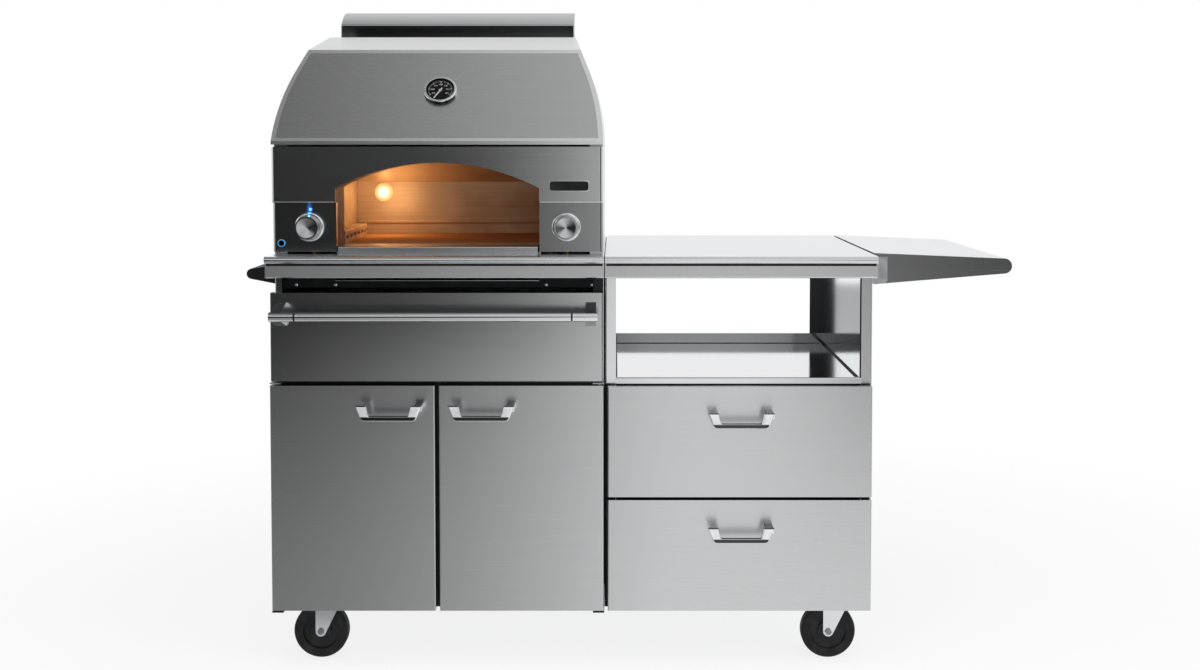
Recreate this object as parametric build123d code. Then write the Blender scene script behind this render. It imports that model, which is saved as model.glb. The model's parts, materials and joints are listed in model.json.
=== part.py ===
from build123d import *
import os
from math import acos, asin, atan2, cos, hypot, radians, sin, sqrt, tan

# Pizza oven cart: a gas oven with an arched mouth and a loaf-shaped hood, on a wheeled stainless
# cart of two modules. Millimetres, +Z up, the front faces -Y, and the origin lies on the floor under
# the middle of the whole object.

# Sheet, plates and fits
SHEET = 1.5  # cabinet sheet
SKIN = 2.0  # oven, deck and counter sheet
PLATE = 3.0  # brackets and caster forks
BEND = 3.0  # fold radius, at the middle of the sheet
RUN_GAP = 0.3  # between flat faces that slide or rest on one another
PIN_GAP = 0.08  # radial, a pin in its hole

# Plan of the cart
OVEN_MODULE_W = 762.0
SIDE_MODULE_W = 612.0
MODULE_GAP = 2.0  # between the two modules
WALL = 25.0  # folded depth of a cabinet wall
WALL_IN = 9.0  # outer wall of the oven module inside its fronts
TOP_OVERHANG = 5.0  # deck and counter past the outer walls
COUNTER_DEPTH = 762.0
NOSE = 20.0  # deck and counter edge, in front of the doors
CABINET_DEPTH = 690.0  # door front to cabinet back
FRONT_T = 25.0  # doors and drawer fronts
FRONT_GAP = 5.0  # behind the fronts

# Heights of the cart
CASTER_H = 156.0
FRAME_H = 30.0
FRAME_RAIL = 40.0
DRAIN_R = 5.0  # drain holes of the frame's tubes
DRAIN_IN = 60.0  # drain hole from the frame's end
FLOOR_SLOTS = (7, 2)  # air slots of the cabinet floor, across and deep
FLOOR_SLOT_L = 115.0
FLOOR_SLOT_W = 8.0
FLOOR_SLOT_PITCH = (60.0, 230.0)
FRONTS_Z = 135.0  # underside of doors and lower drawer front
DOOR_H = 519.0
LOWER_FRONT_H = 256.0
UPPER_FRONT_H = 254.0
DRAWER_SPLIT = 7.0  # between lower and upper drawer front
MAIN_FRONT_H = 201.5
MAIN_SPLIT = 10.5  # between doors and the wide drawer
TOP_Z = 950.0
NOSE_H = 17.0
APRON_H = 50.0  # top face to the apron's lower edge
APRON_STEP = 11.0  # apron behind the nose
APRON_LIP = 18.0

# Open bay
BAY_FLOOR_Z = 660.0
BAY_LIP_UP = 9.0
BAY_LIP_DOWN = 5.0
BAY_LIP_T = 10.0
BAY_BACK_UP = 27.0
BAY_POST = 35.0  # rear post at the bay's right

# Doors and pulls
DOOR_EDGE = 1.0  # door edge inside the module's side
DOOR_SPLIT = 9.0  # between the two doors
EDGE_R = 3.0  # rounded front edges
DOOR_LIP = 22.0  # folded in behind a door
DRAWER_LIP = 45.0  # folded in behind a drawer front, where its box is screwed on
PIVOT_IN = 10.0  # pivot axis from the door's outer edge
PIVOT_R = 4.0
PIVOT_LEN = 14.0
PIVOT_BOSS = 9.0
PIVOT_LUG = 26.0  # width of a pivot bracket
DOOR_LIFT = 3.0  # pivot bracket above and below the door
PULL_W = 150.0  # over the arms
PULL_ARM = 24.0  # arm's width at its post
PULL_LEAN = 14.0  # outer edge of an arm runs in by
PULL_SPLAY = 6.0  # inner edge of an arm runs in by
PULL_GRIP = 12.0
PULL_T = 13.0  # front to back
PULL_POST_W = 20.0
PULL_POST_H = 14.0
PULL_OUT = 40.0  # grip's axis in front of the door
PULL_DROP = 35.0  # top of the posts to the grip's underside
PULL_BEND = 10.0
PULL_ROUND = 4.0
DOOR_PULL_EDGE = 25.0  # pull from the door's free edge
DOOR_PULL_Z = 46.0  # pull posts below the door's top
DRAWER_PULL_Z = 61.0  # pull posts below the drawer front's top

# Wide drawer's bar
MAIN_EDGE = 3.5  # wide front inside the module's side
BAR_D = 21.5
BAR_STANDOFF = 60.0
BAR_END = 11.0  # bar end inside the wide front's edge
BAR_SLEEVE = 55.0
BAR_RING = 4.0
BAR_RING_DEEP = 2.0
BAR_BELOW = 48.0  # bar axis below the wide front's top
POST_W = 24.0
POST_ROOT_H = 54.0
POST_IN = 3.0  # post inside the bar's end

# Right drawer fronts
SIDE_EDGE_L = 6.0
SIDE_EDGE_R = 3.0

# Drawer boxes and telescopic slides
BOX_LOW = 26.0  # box floor above the front's lower edge
LOWER_BOX_LOW = 66.0  # the lower box clears the cabinet floor
BOX_HEAD = 24.0  # box rim below the front's upper edge
BOX_DEPTH = 535.0
DRAWER_TRAVEL = 420.0
SLIDE_L = 500.0
SLIDE_H = 45.0
SLIDE_T = 13.0
SLIDE_SHEET = 1.5
SLIDE_SETBACK = 4.0  # slide ends behind the cabinet face
SLIDE_ABOVE = 60.0  # slide axis above the box floor
SPACER_L = 30.0
SLIDE_FOLD = 0.95  # fold radius of a slide, at the middle of its sheet

# Push handle and side shelf
HANDLE_REACH = 65.0
HANDLE_R = 12.0
HANDLE_Z = 903.5
HANDLE_ROOT_LOW = 879.0
HANDLE_ROOT_HIGH = 925.0
HANDLE_BRACKET_T = 14.0
HANDLE_FRONT = 70.0  # front bracket behind the door front
HANDLE_SPAN = 545.0
SHELF_REACH = 327.0
SHELF_ROOT_H = 72.0
SHELF_LIFT = 2.0  # shelf top above the counter
SHELF_TIP_R = 17.5
SHELF_TIP_DROP = 28.0  # tip's axis below the counter top
SHELF_GAP = 4.0  # shelf root to the counter's end
SHELF_FRONT = 55.0  # front bracket behind the door front
SHELF_DEPTH = 680.0
SHELF_BRACKET_T = 8.0
SHELF_BRACKET_H = 62.0
SHELF_PIVOT_OUT = 28.0  # pivot axis from the cart's side
SHELF_PIVOT_UP = 12.0  # pivot axis above the shelf's underside at the root
SHELF_PIN_R = 5.0
SHELF_PIN_L = 14.0
SHELF_KNUCKLE = 10.0

# Casters
WHEEL_D = 127.0
WHEEL_W = 32.0
WHEEL_HUB_D = 84.0
WHEEL_DISH = 5.0
WHEEL_ROUND = 6.0
FORK_SIDE = 0.5  # hub face to fork leg
AXLE_R = 5.0
AXLE_HEAD_R = 7.5
AXLE_HEAD_T = 5.0
TRAIL = 35.0
LEG_R = 12.0
LEG_TOP_W = 66.0
CROWN_T = 4.0
KING_R = 6.0
RACE_R = 29.0
RACE_H = 6.0
CASTER_PLATE = 100.0
CASTER_PLATE_T = 4.0
CASTER_IN_L = 133.0  # swivel axis from the cart's left side
CASTER_IN_R = 55.0
CASTER_FRONT = 92.0  # swivel axis behind the door front
CASTER_REAR = 598.0

# Oven body and front
OVEN_EDGE = 2.5  # oven's sides inside the deck's edges
OVEN_SETBACK = 53.0  # arch panel behind the door front
OVEN_DEPTH = 645.0
PANEL_STEP = 13.0  # control panels behind the arch panel
PANEL_DEPTH = 14.0
PANEL_H = 119.0
PANEL_LIFT = 5.0  # shadow line under the control panels
ARCH_PANEL_H = 128.0
PANEL_R = 8.0  # rounded outer corners
BODY_FLANGE = 30.0
HOOD_GAP = 5.0  # shadow line under the hood
MOUTH_W = 468.0
MOUTH_SPRING = 152.0  # above the deck
MOUTH_RISE = 58.0
THROAT_END = 113.0  # lining's front wall behind the arch panel
SILL_H = 17.0
SILL_GAP = 4.0

# Hood and flue
HOOD_HEM = 8.0
HOOD_RUN = 174.0
HOOD_RISE = 218.0
HOOD_BULGE = 7.0
HOOD_BAND_RUN = 190.0
HOOD_BAND_RISE = 42.0
HOOD_TOP_RUN = 118.0
HOOD_TOP_RISE = 8.0
HOOD_SIDE_R = 465.0
HOOD_SIDE_TURN = 22.1  # degrees of side arc before the straight
HOOD_SHOULDER_R = 14.0
HOOD_TRIM = 11.0  # rim left round the raised front panel
HOOD_RAISE = 2.0
FLUE_W = 604.0
FLUE_H = 30.0
FLUE_DEPTH = 106.0
FLUE_HOLE_IN = 22.0
VISOR_H = 40.0

# Oven inside
CAVITY_W = 540.0
CAVITY_DEPTH = 407.0
CAVITY_TOP = 235.0  # above the deck
CAVITY_BEND = 152.0  # back wall's bend above the deck
CAVITY_SLOPE = 120.0  # run of the sloped upper back
PIT_DEPTH = 59.0  # burner pit below the deck
PIT_SLOTS = 3  # air slots in the pit's floor
PIT_SLOT_L = 180.0
PIT_SLOT_W = 16.0
PIT_SLOT_PITCH = 80.0
DECK_CLEAR = 10.0  # deck cut-out round the pit
LINER_RIM = 28.0
STONE_T = 20.0
STONE_GAP = 4.0
LEDGE = 20.0
LEDGE_T = 3.0
BURNER_R = 11.0
BURNER_W = 300.0
BURNER_L = 300.0
BURNER_BEND = 60.0
BURNER_FOOT = 8.0
SIDE_BURNER_R = 8.0
GUARD_W = 32.0
GUARD_H = 29.0
GUARD_L = 315.0
GUARD_SLOTS = 6
GUARD_SLOT_L = 38.0
GUARD_SLOT_H = 9.0
LAMP_R = 24.0
LAMP_LENS_R = 19.2
LAMP_SEAT = 5.7  # lamp's ring off the back wall
LAMP_OUT = 17.0
LAMP_X = -200.0
LAMP_Z = 125.0  # above the deck

# Heat shield
SHIELD_FRONT = 45.0  # behind the door front
SHIELD_LOW = 77.0  # below the deck top
SHIELD_HIGH = 51.0
SHIELD_DEPTH = 605.0
SHIELD_SLOT_H = 4.0

# Controls
KNOB_X = 296.0
KNOB_Z = 62.0  # above the deck
KNOB_R = 28.5
KNOB_LIP_R = 26.2  # grip's front edge
KNOB_FACE_R = 22.8
KNOB_LEN = 30.0
KNOB_PROUD = 40.0
KNOB_DISH = 5.0
KNOB_PUSH = 3.0
BEZEL_R = 34.0
BEZEL_T = 6.0
BEZEL_ROUND = 4.2
BEZEL_BORE = 11.0
STEM_R = 4.0
STEM_BITE = 20.0
PANEL_HOLE_R = 8.0
BUTTON_IN = 20.0  # light button from the oven's left side
BUTTON_Z = 25.0
BUTTON_R = 6.5
BUTTON_RING_R = 8.8
BUTTON_RING_T = 3.0
BUTTON_SHANK_R = 8.0
BUTTON_PROUD = 4.0
BUTTON_LEN = 11.0
BUTTON_CUP = 13.0
BUTTON_PUSH = 2.0
GAUGE_R = 38.5
GAUGE_T = 10.0
GAUGE_DIAL_R = 33.0
GAUGE_DIAL_DEEP = 5.0
GAUGE_Z = 374.0  # above the deck
GAUGE_STEM_R = 6.0
GAUGE_STEM_L = 70.0
GAUGE_STEM_FIT = 1.0
NEEDLE_L = 27.0
NEEDLE_TAIL = 8.0
NEEDLE_W = 3.0
NEEDLE_T = 0.8
NEEDLE_HUB_R = 3.5
NEEDLE_PIN_R = 1.2
NEEDLE_PIN_L = 2.4
NEEDLE_REST = 240.0  # degrees, low end of the dial

# Gas train
PIPE_R = 10.0
PIPE_Z = -25.0  # from the deck top
PIPE_BACK = 57.0  # behind the control panels' face
PIPE_HOLE = 4.0  # room round a pipe in sheet
VALVE_W = 34.0
VALVE_H = 40.0
VALVE_L = 50.0
VALVE_BORE = 30.0
INLET_X = 320.0
INLET_OUT = 36.0  # inlet end behind the cabinet back
INLET_R = 8.0
INLET_L = 14.0
INLET_HEX = 24.0
INLET_HEX_L = 12.0

# Places that follow from the sizes above
LEFT = HANDLE_REACH - (HANDLE_REACH + OVEN_MODULE_W + MODULE_GAP + SIDE_MODULE_W + SHELF_REACH) / 2
SPLIT_L = LEFT + OVEN_MODULE_W
SPLIT_R = SPLIT_L + MODULE_GAP
RIGHT = SPLIT_R + SIDE_MODULE_W
WALL_L = LEFT + WALL_IN
BAR_FRONT = BAR_STANDOFF + BAR_D / 2
FRONT = BAR_FRONT - (BAR_FRONT + COUNTER_DEPTH - NOSE) / 2
BACK = FRONT - NOSE + COUNTER_DEPTH
CABINET_FRONT = FRONT + FRONT_T + FRONT_GAP
CABINET_BACK = FRONT + CABINET_DEPTH
FLOOR_Z = CASTER_H + FRAME_H + SHEET
TOP_UNDER = TOP_Z - SKIN
DECK_L = LEFT - TOP_OVERHANG
COUNTER_R = RIGHT + TOP_OVERHANG
APRON_Z = TOP_Z - APRON_H
APRON_FACE = FRONT - NOSE + APRON_STEP
DOOR_TOP = FRONTS_Z + DOOR_H
MAIN_LOW = DOOR_TOP + MAIN_SPLIT
MAIN_TOP = MAIN_LOW + MAIN_FRONT_H
LOWER_TOP = FRONTS_Z + LOWER_FRONT_H
UPPER_LOW = LOWER_TOP + DRAWER_SPLIT
UPPER_TOP = UPPER_LOW + UPPER_FRONT_H
DOOR_W = (OVEN_MODULE_W - 2 * DOOR_EDGE - DOOR_SPLIT) / 2
MAIN_L = LEFT + MAIN_EDGE
MAIN_R = SPLIT_L - MAIN_EDGE
SIDE_L = SPLIT_R + SIDE_EDGE_L
SIDE_R = RIGHT - SIDE_EDGE_R
OVEN_L = DECK_L + OVEN_EDGE
OVEN_R = SPLIT_L - OVEN_EDGE
OVEN_X = (OVEN_L + OVEN_R) / 2
OVEN_HALF = (OVEN_R - OVEN_L) / 2
OVEN_FRONT = FRONT + OVEN_SETBACK
OVEN_BACK = OVEN_FRONT + OVEN_DEPTH
CONTROL_FACE = OVEN_FRONT + PANEL_STEP
BODY_FRONT = CONTROL_FACE + PANEL_DEPTH
PANEL_TOP = TOP_Z + PANEL_H
ARCH_TOP = PANEL_TOP + ARCH_PANEL_H
HOOD_Z = ARCH_TOP + HOOD_GAP
LINER_FRONT = OVEN_FRONT + THROAT_END
CAVITY_FRONT = LINER_FRONT + SKIN
CAVITY_BACK = CAVITY_FRONT + CAVITY_DEPTH
PIT_Z = TOP_Z - PIT_DEPTH
STONE_TOP = TOP_Z + SILL_H
PIPE_Y = CONTROL_FACE + PIPE_BACK
KNOBS = {"left": OVEN_X - KNOB_X, "right": OVEN_X + KNOB_X}
BUTTON_AT = (OVEN_L + BUTTON_IN, TOP_Z + BUTTON_Z)
SHELF_TIP_X = RIGHT + SHELF_REACH - SHELF_TIP_R
SHELF_TIP_Z = TOP_Z - SHELF_TIP_DROP
SHELF_TOP = TOP_Z + SHELF_LIFT
SHELF_LOW = SHELF_TOP - SHELF_ROOT_H
SHELF_ROOT = COUNTER_R + SHELF_GAP
SHELF_PIVOT = (RIGHT + SHELF_PIVOT_OUT, SHELF_LOW + SHELF_PIVOT_UP)
SHELF_Y0 = FRONT + SHELF_FRONT
SHELF_Y1 = SHELF_Y0 + SHELF_DEPTH
CASTERS = {
    "front_left": (LEFT + CASTER_IN_L, FRONT + CASTER_FRONT),
    "front_right": (RIGHT - CASTER_IN_R, FRONT + CASTER_FRONT),
    "rear_left": (LEFT + CASTER_IN_L, FRONT + CASTER_REAR),
    "rear_right": (RIGHT - CASTER_IN_R, FRONT + CASTER_REAR),
}
AXLE_Z = WHEEL_D / 2
PLATE_LOW = CASTER_H - CASTER_PLATE_T
CROWN_TOP = PLATE_LOW - RACE_H - RUN_GAP
LEG_IN = WHEEL_W / 2 + FORK_SIDE


def rect(u0, u1, v0, v1):
    """A rectangle between two corners of a sketch."""
    return Pos((u0 + u1) / 2, (v0 + v1) / 2) * Rectangle(u1 - u0, v1 - v0)


def disc(u, v, r):
    """A circle at a point of a sketch."""
    return Pos(u, v) * Circle(r)


def along_x(section, x0, x1):
    """A section drawn in Y and Z, carried from x0 to x1."""
    return extrude(Plane.YZ.offset(x0) * section, x1 - x0)


def along_y(section, y0, y1):
    """A section drawn in X and Z, carried from y0 to y1."""
    return extrude(Plane.XZ.offset(-y1) * section, y1 - y0)


def along_z(section, z0, z1):
    """A section drawn in X and Y, carried from z0 to z1."""
    return extrude(Plane.XY.offset(z0) * section, z1 - z0)


def block(x0, x1, y0, y1, z0, z1):
    """A plate or bar between two corners."""
    return along_z(rect(x0, x1, y0, y1), z0, z1)


def folded(points, radius, thickness):
    """The section of a sheet folded along a path, drawn at the middle of the sheet."""
    return trace(FilletPolyline(*points, radius=radius), thickness)


def tangent(point, centre, radius, side):
    """Where the line from a point touches a circle, on its left (1) or right (-1)."""
    du, dv = point[0] - centre[0], point[1] - centre[1]
    turn = atan2(dv, du) + side * acos(radius / hypot(du, dv))
    return centre[0] + radius * cos(turn), centre[1] + radius * sin(turn)


def taper(first, second, tip, radius):
    """An outline that narrows from a straight root to a round tip; first, tip and second turn left."""
    start = tangent(first, tip, radius, 1)
    end = tangent(second, tip, radius, -1)
    return Polygon(first, start, tip, end, second, align=None) + disc(*tip, radius)


def save(name, *solids):
    """Writes one node, made of one solid or of several that stand apart."""
    found = [s for shape in solids for s in shape.solids()]
    shape = found[0] if len(found) == 1 else Compound(children=found)
    export_step(shape, f"parts/{name}.step")


# Cart structure
def base_frame():
    """A welded ladder of channels, open upward, under the cabinet's slotted floor."""
    outline = rect(LEFT, RIGHT, CABINET_FRONT, CABINET_BACK)
    ladder = outline
    bars = [LEFT + FRAME_RAIL / 2, *sorted({x for x, _ in CASTERS.values()}), RIGHT - FRAME_RAIL / 2]
    bars.insert(2, (SPLIT_L + SPLIT_R) / 2)
    for a, b in zip(bars, bars[1:]):
        u0, u1 = a + FRAME_RAIL / 2, b - FRAME_RAIL / 2
        if u1 - u0 > FRAME_RAIL / 2:
            ladder -= rect(u0, u1, CABINET_FRONT + FRAME_RAIL, CABINET_BACK - FRAME_RAIL)
    frame = along_z(ladder, CASTER_H, CASTER_H + FRAME_H)
    frame -= along_z(offset(ladder, amount=-PLATE), CASTER_H + PLATE, CASTER_H + FRAME_H)
    for x in (bars[0], bars[-1]):
        for y in (CABINET_FRONT + DRAIN_IN, CABINET_BACK - DRAIN_IN):
            frame -= along_z(disc(x, y, DRAIN_R), CASTER_H, CASTER_H + PLATE)
    floor = along_z(outline, CASTER_H + FRAME_H, FLOOR_Z)
    slots = GridLocations(*FLOOR_SLOT_PITCH, *FLOOR_SLOTS)
    middle = Pos((LEFT + SPLIT_L) / 2, (CABINET_FRONT + CABINET_BACK) / 2)
    slot = SlotOverall(FLOOR_SLOT_L, FLOOR_SLOT_W, rotation=90)
    for place in slots:
        floor -= along_z(middle * place * slot, CASTER_H, FLOOR_Z)
    return frame + floor


def wall(outer, inner):
    """A cabinet wall: a sheet folded to a channel, from its outer face to its flanges' tips."""
    side = SHEET / 2 if inner > outer else -SHEET / 2
    y0, y1 = CABINET_FRONT + SHEET / 2, CABINET_BACK - SHEET / 2
    path = [(inner, y0), (outer + side, y0), (outer + side, y1), (inner, y1)]
    return along_z(folded(path, BEND, SHEET), FLOOR_Z, TOP_UNDER)


def rear_panel():
    """The sheet behind both modules, cut away behind the open bay and for the gas inlet."""
    section = rect(WALL_L, RIGHT, FLOOR_Z, TOP_UNDER)
    section -= rect(SPLIT_R + WALL, RIGHT - WALL - BAY_POST, BAY_FLOOR_Z, TOP_UNDER)
    section -= disc(OVEN_X + INLET_X, TOP_Z + PIPE_Z, PIPE_R + PIPE_HOLE)
    return along_y(section, CABINET_BACK, CABINET_BACK + SHEET)


def mid_rail():
    """The channel across the oven module between its drawer and its doors."""
    y0 = CABINET_FRONT + SHEET * 1.5
    y1 = y0 + WALL
    z0, z1 = DOOR_TOP - MAIN_SPLIT, MAIN_LOW + MAIN_SPLIT
    path = [(y1, z0), (y0, z0), (y0, z1), (y1, z1)]
    end = SHEET + BEND
    return along_x(folded(path, BEND, SHEET), WALL_L + end, SPLIT_L - end)


def bay_liner():
    """The open bay's tray and two side linings, as one welded insert."""
    half = SHEET / 2
    lip = CABINET_FRONT - BAY_LIP_T / 2
    floor = BAY_FLOOR_Z - half
    crest = BAY_FLOOR_Z + BAY_LIP_UP - half
    back = CABINET_BACK - SHEET - half
    path = [
        (back, BAY_FLOOR_Z + BAY_BACK_UP),
        (back, floor),
        (lip + BAY_LIP_T, floor),
        (lip + BAY_LIP_T, crest),
        (lip, crest),
        (lip, BAY_FLOOR_Z - BAY_LIP_DOWN),
    ]
    x0, x1 = SPLIT_R + WALL, RIGHT - WALL
    tray = along_x(folded(path, BEND, SHEET), x0, x1)
    y0, y1 = CABINET_FRONT + SHEET, CABINET_BACK - SHEET
    low = BAY_FLOOR_Z - BAY_LIP_DOWN
    for a in (x0 - SHEET, x1):
        tray += block(a, a + SHEET, y0, y1, low, TOP_UNDER)
    return tray


def worktop(x0, x1, end):
    """A folded top with a round nose and an apron; end is the outer end that gets a cap."""
    half = SKIN / 2
    nose = FRONT - NOSE + half
    face = APRON_FACE + half
    under = TOP_Z - NOSE_H + half
    path = [
        (BACK, TOP_Z - half),
        (nose, TOP_Z - half),
        (nose, under),
        (face, under),
        (face, APRON_Z + half),
        (face + APRON_LIP, APRON_Z + half),
    ]
    round_nose = (NOSE_H - SKIN) / 2 - PIN_GAP
    top = along_x(folded(path, [round_nose, round_nose, SKIN, BEND], SKIN), x0, x1)
    profile = rect(APRON_FACE, BACK, APRON_Z, TOP_Z - half)
    inner = end + SKIN if end == x0 else end - SKIN
    return top + along_x(profile, min(end, inner), max(end, inner))


def oven_deck():
    """The top under the oven, open over the burner pit and for the two gas risers."""
    deck = worktop(DECK_L, SPLIT_L, DECK_L)
    hole = CAVITY_W / 2 + SKIN + DECK_CLEAR
    cut = rect(OVEN_X - hole, OVEN_X + hole, LINER_FRONT, CAVITY_BACK + SKIN + DECK_CLEAR)
    for x in KNOBS.values():
        cut += disc(x, PIPE_Y, PIPE_R + PIPE_HOLE)
    return deck - along_z(cut, TOP_UNDER - SKIN, TOP_Z)


def heat_shield():
    """The black pan over the wide drawer, with a draught slot along its front."""
    y0 = FRONT + SHIELD_FRONT
    low, high = TOP_Z - SHIELD_LOW, TOP_Z - SHIELD_HIGH
    path = [(y0, high), (y0, low), (y0 + SHIELD_DEPTH, low), (y0 + SHIELD_DEPTH, high)]
    pan = along_x(folded(path, BEND, SHEET), WALL_L + SHEET, SPLIT_L - SHEET)
    slot = rect(OVEN_X - MOUTH_W / 2, OVEN_X + MOUTH_W / 2, PIT_Z, PIT_Z + SHIELD_SLOT_H)
    return pan - along_y(slot, y0 - SHEET, y0 + SHEET)


def door_pivots():
    """Four brackets with pins: two above the doors on the rail, two below on the base frame."""
    y = FRONT + FRONT_T / 2
    nib = FRONT + PIVOT_BOSS / 2
    bend = PLATE / 2 + PIN_GAP
    face = CABINET_FRONT - PLATE / 2
    over = DOOR_TOP + DOOR_LIFT + PLATE / 2
    above = [(face, MAIN_LOW - RUN_GAP), (face, over), (nib, over)]
    hang = CABINET_FRONT + BAY_LIP_T
    under = FRONTS_Z - DOOR_LIFT - PLATE / 2
    foot = CASTER_H - PLATE / 2
    below = [(hang + FRAME_RAIL / 2, foot), (hang, foot), (hang, under), (nib, under)]
    inset = DOOR_EDGE + PIVOT_IN
    pieces = []
    for x, lug in ((LEFT + inset, LEFT), (SPLIT_L - inset, SPLIT_L - PIVOT_LUG)):
        pin = disc(x, y, PIVOT_R)
        upper = along_x(folded(above, bend, PLATE), lug, lug + PIVOT_LUG)
        pieces.append(upper + along_z(pin, DOOR_TOP - PIVOT_LEN, DOOR_TOP + DOOR_LIFT))
        lower = along_x(folded(below, bend, PLATE), lug, lug + PIVOT_LUG)
        lower += along_z(disc(x, y, PIVOT_BOSS), FRONTS_Z - DOOR_LIFT, FRONTS_Z - RUN_GAP)
        pieces.append(lower + along_z(pin, FRONTS_Z - DOOR_LIFT, FRONTS_Z + PIVOT_LEN))
    return pieces


# Fronts
def front_pan(x0, x1, z0, z1, lip):
    """A door or drawer front: a sheet pan with round vertical edges and a lip folded in behind."""
    pan = block(x0, x1, FRONT, FRONT + FRONT_T, z0, z1)
    edges = pan.edges().filter_by(Axis.Z).sort_by(Axis.Y)[:2]
    pan = fillet(edges, EDGE_R)
    back = FRONT + FRONT_T - SHEET
    pan -= block(x0 + SHEET, x1 - SHEET, FRONT + SHEET, back, z0 + SHEET, z1 - SHEET)
    return pan - block(x0 + lip, x1 - lip, back, FRONT + FRONT_T, z0 + lip, z1 - lip)


def door(x0, x1, pivot_x):
    """A door pan with a pivot block in its two outer corners."""
    pan = front_pan(x0, x1, FRONTS_Z, DOOR_TOP, DOOR_LIP)
    section = rect(pivot_x - PIVOT_BOSS, pivot_x + PIVOT_BOSS, FRONT + SHEET, FRONT + FRONT_T - SHEET)
    boss = along_z(section, FRONTS_Z, FRONTS_Z + 2 * PIVOT_LEN)
    hole = disc(pivot_x, FRONT + FRONT_T / 2, PIVOT_R + PIN_GAP)
    depth = PIVOT_LEN + DOOR_LIFT
    for low in (FRONTS_Z, DOOR_TOP - 2 * PIVOT_LEN):
        pan += Pos(0, 0, low - FRONTS_Z) * boss
    pan -= along_z(hole, FRONTS_Z, FRONTS_Z + depth)
    return pan - along_z(hole, DOOR_TOP - depth, DOOR_TOP)


def pull(x, z):
    """A cast bow pull: two posts out of the front, and arms that narrow down to a rounded grip."""
    half = PULL_W / 2
    foot = half - PULL_LEAN
    low = PULL_POST_H / 2 - PULL_DROP
    top = PULL_POST_H / 2
    outline = Polygon((-half, top), (-foot, low), (foot, low), (half, top), align=None)
    outline = fillet(outline.vertices().group_by(Axis.Y)[0], PULL_BEND)
    gap = half - PULL_ARM
    neck = gap - PULL_SPLAY
    seat = low + PULL_GRIP
    room = Polygon((-gap, top), (-neck, seat), (neck, seat), (gap, top), align=None)
    room = fillet(room.vertices().group_by(Axis.Y)[0], PULL_ROUND)
    y = FRONT - PULL_OUT
    bow = along_y(Pos(x, z) * (outline - room), y - PULL_T / 2, y + PULL_T / 2)
    faces = bow.edges().group_by(Axis.Y)
    bow = fillet(faces[0] + faces[-1], PULL_ROUND)
    post = Pos(x, z) * RectangleRounded(PULL_POST_W, PULL_POST_H, PULL_ROUND)
    for side in (-1, 1):
        bow += along_y(Pos(side * (half - PULL_POST_W / 2), 0) * post, y, FRONT)
    return bow


def main_handle():
    """The wide drawer's bar, with end sleeves marked off by turned rings, on two tapered posts."""
    z = MAIN_TOP - BAR_BELOW
    y = FRONT - BAR_STANDOFF
    x0, x1 = MAIN_L + BAR_END, MAIN_R - BAR_END
    bar = along_x(disc(y, z, BAR_D / 2), x0, x1)
    ring = disc(y, z, BAR_D) - disc(y, z, BAR_D / 2 - BAR_RING_DEEP)
    for x in (x0 + BAR_SLEEVE, x1 - BAR_SLEEVE - BAR_RING):
        bar -= along_x(ring, x, x + BAR_RING)
    post = taper((FRONT, z + POST_ROOT_H / 2), (FRONT, z - POST_ROOT_H / 2), (y, z), BAR_D / 2)
    for x in (x0 + POST_IN, x1 - POST_IN - POST_W):
        bar += along_x(post, x, x + POST_W)
    return bar


def slide(face, side, part):
    """One telescopic slide member's section at a wall: 0 is fixed, 1 the middle, 2 the drawer's."""
    step = SLIDE_SHEET + RUN_GAP
    reach = SLIDE_H / 2 - part * step - SLIDE_SHEET / 2
    webs = (SLIDE_SHEET / 2, SLIDE_SHEET * 1.5 + RUN_GAP, SLIDE_T - SLIDE_SHEET / 2)
    tips = (SLIDE_T - 3 * SLIDE_SHEET, SLIDE_T - 3 * SLIDE_SHEET, SLIDE_SHEET * 2 + RUN_GAP * 2)
    web, tip = face + side * webs[part], face + side * tips[part]
    path = [(tip, -reach), (web, -reach), (web, reach), (tip, reach)]
    return folded(path, SLIDE_FOLD, SLIDE_SHEET)


def slides(face, side, part, z):
    """A slide member at its height, as long as the slide."""
    y0 = CABINET_FRONT + SLIDE_SETBACK
    return along_y(Pos(0, z) * slide(face, side, part), y0, y0 + SLIDE_L)


def fixed_rail(face, side, z, back):
    """A fixed slide member on two spacers that reach back to the wall's sheet."""
    rail = slides(face, side, 0, z)
    y0 = CABINET_FRONT + SLIDE_SETBACK
    for y in (y0 + SPACER_L, y0 + SLIDE_L - 2 * SPACER_L):
        rail += block(min(face, back), max(face, back), y, y + SPACER_L, z - SPACER_L / 2, z + SPACER_L / 2)
    return rail


class Drawer:
    """One drawer: its front, the walls beside it, its box between two slides, and their height."""

    def __init__(self, front, module, low, wall_in=0.0):
        self.front = front
        self.left = module[0] + WALL
        self.right = module[1] - WALL
        self.sheets = (module[0] + wall_in + SHEET, module[1] - SHEET)
        self.floor = front[2] + low
        self.slide_z = self.floor + SLIDE_ABOVE

    def box(self):
        """An open sheet box with the slides' inner members on its sides."""
        x0, x1 = self.left + SLIDE_T, self.right - SLIDE_T
        y0 = FRONT + FRONT_T
        y1 = y0 + BOX_DEPTH
        shell = block(x0, x1, y0, y1, self.floor, self.front[3] - BOX_HEAD)
        shell -= block(x0 + SHEET, x1 - SHEET, y0 + SHEET, y1 - SHEET, self.floor + SHEET, self.front[3])
        return shell + slides(self.left, 1, 2, self.slide_z) + slides(self.right, -1, 2, self.slide_z)

    def middles(self):
        """The two middle slide members."""
        return [slides(self.left, 1, 1, self.slide_z), slides(self.right, -1, 1, self.slide_z)]

    def rails(self):
        """The two fixed slide members."""
        left = fixed_rail(self.left, 1, self.slide_z, self.sheets[0])
        return [left, fixed_rail(self.right, -1, self.slide_z, self.sheets[1])]


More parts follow.
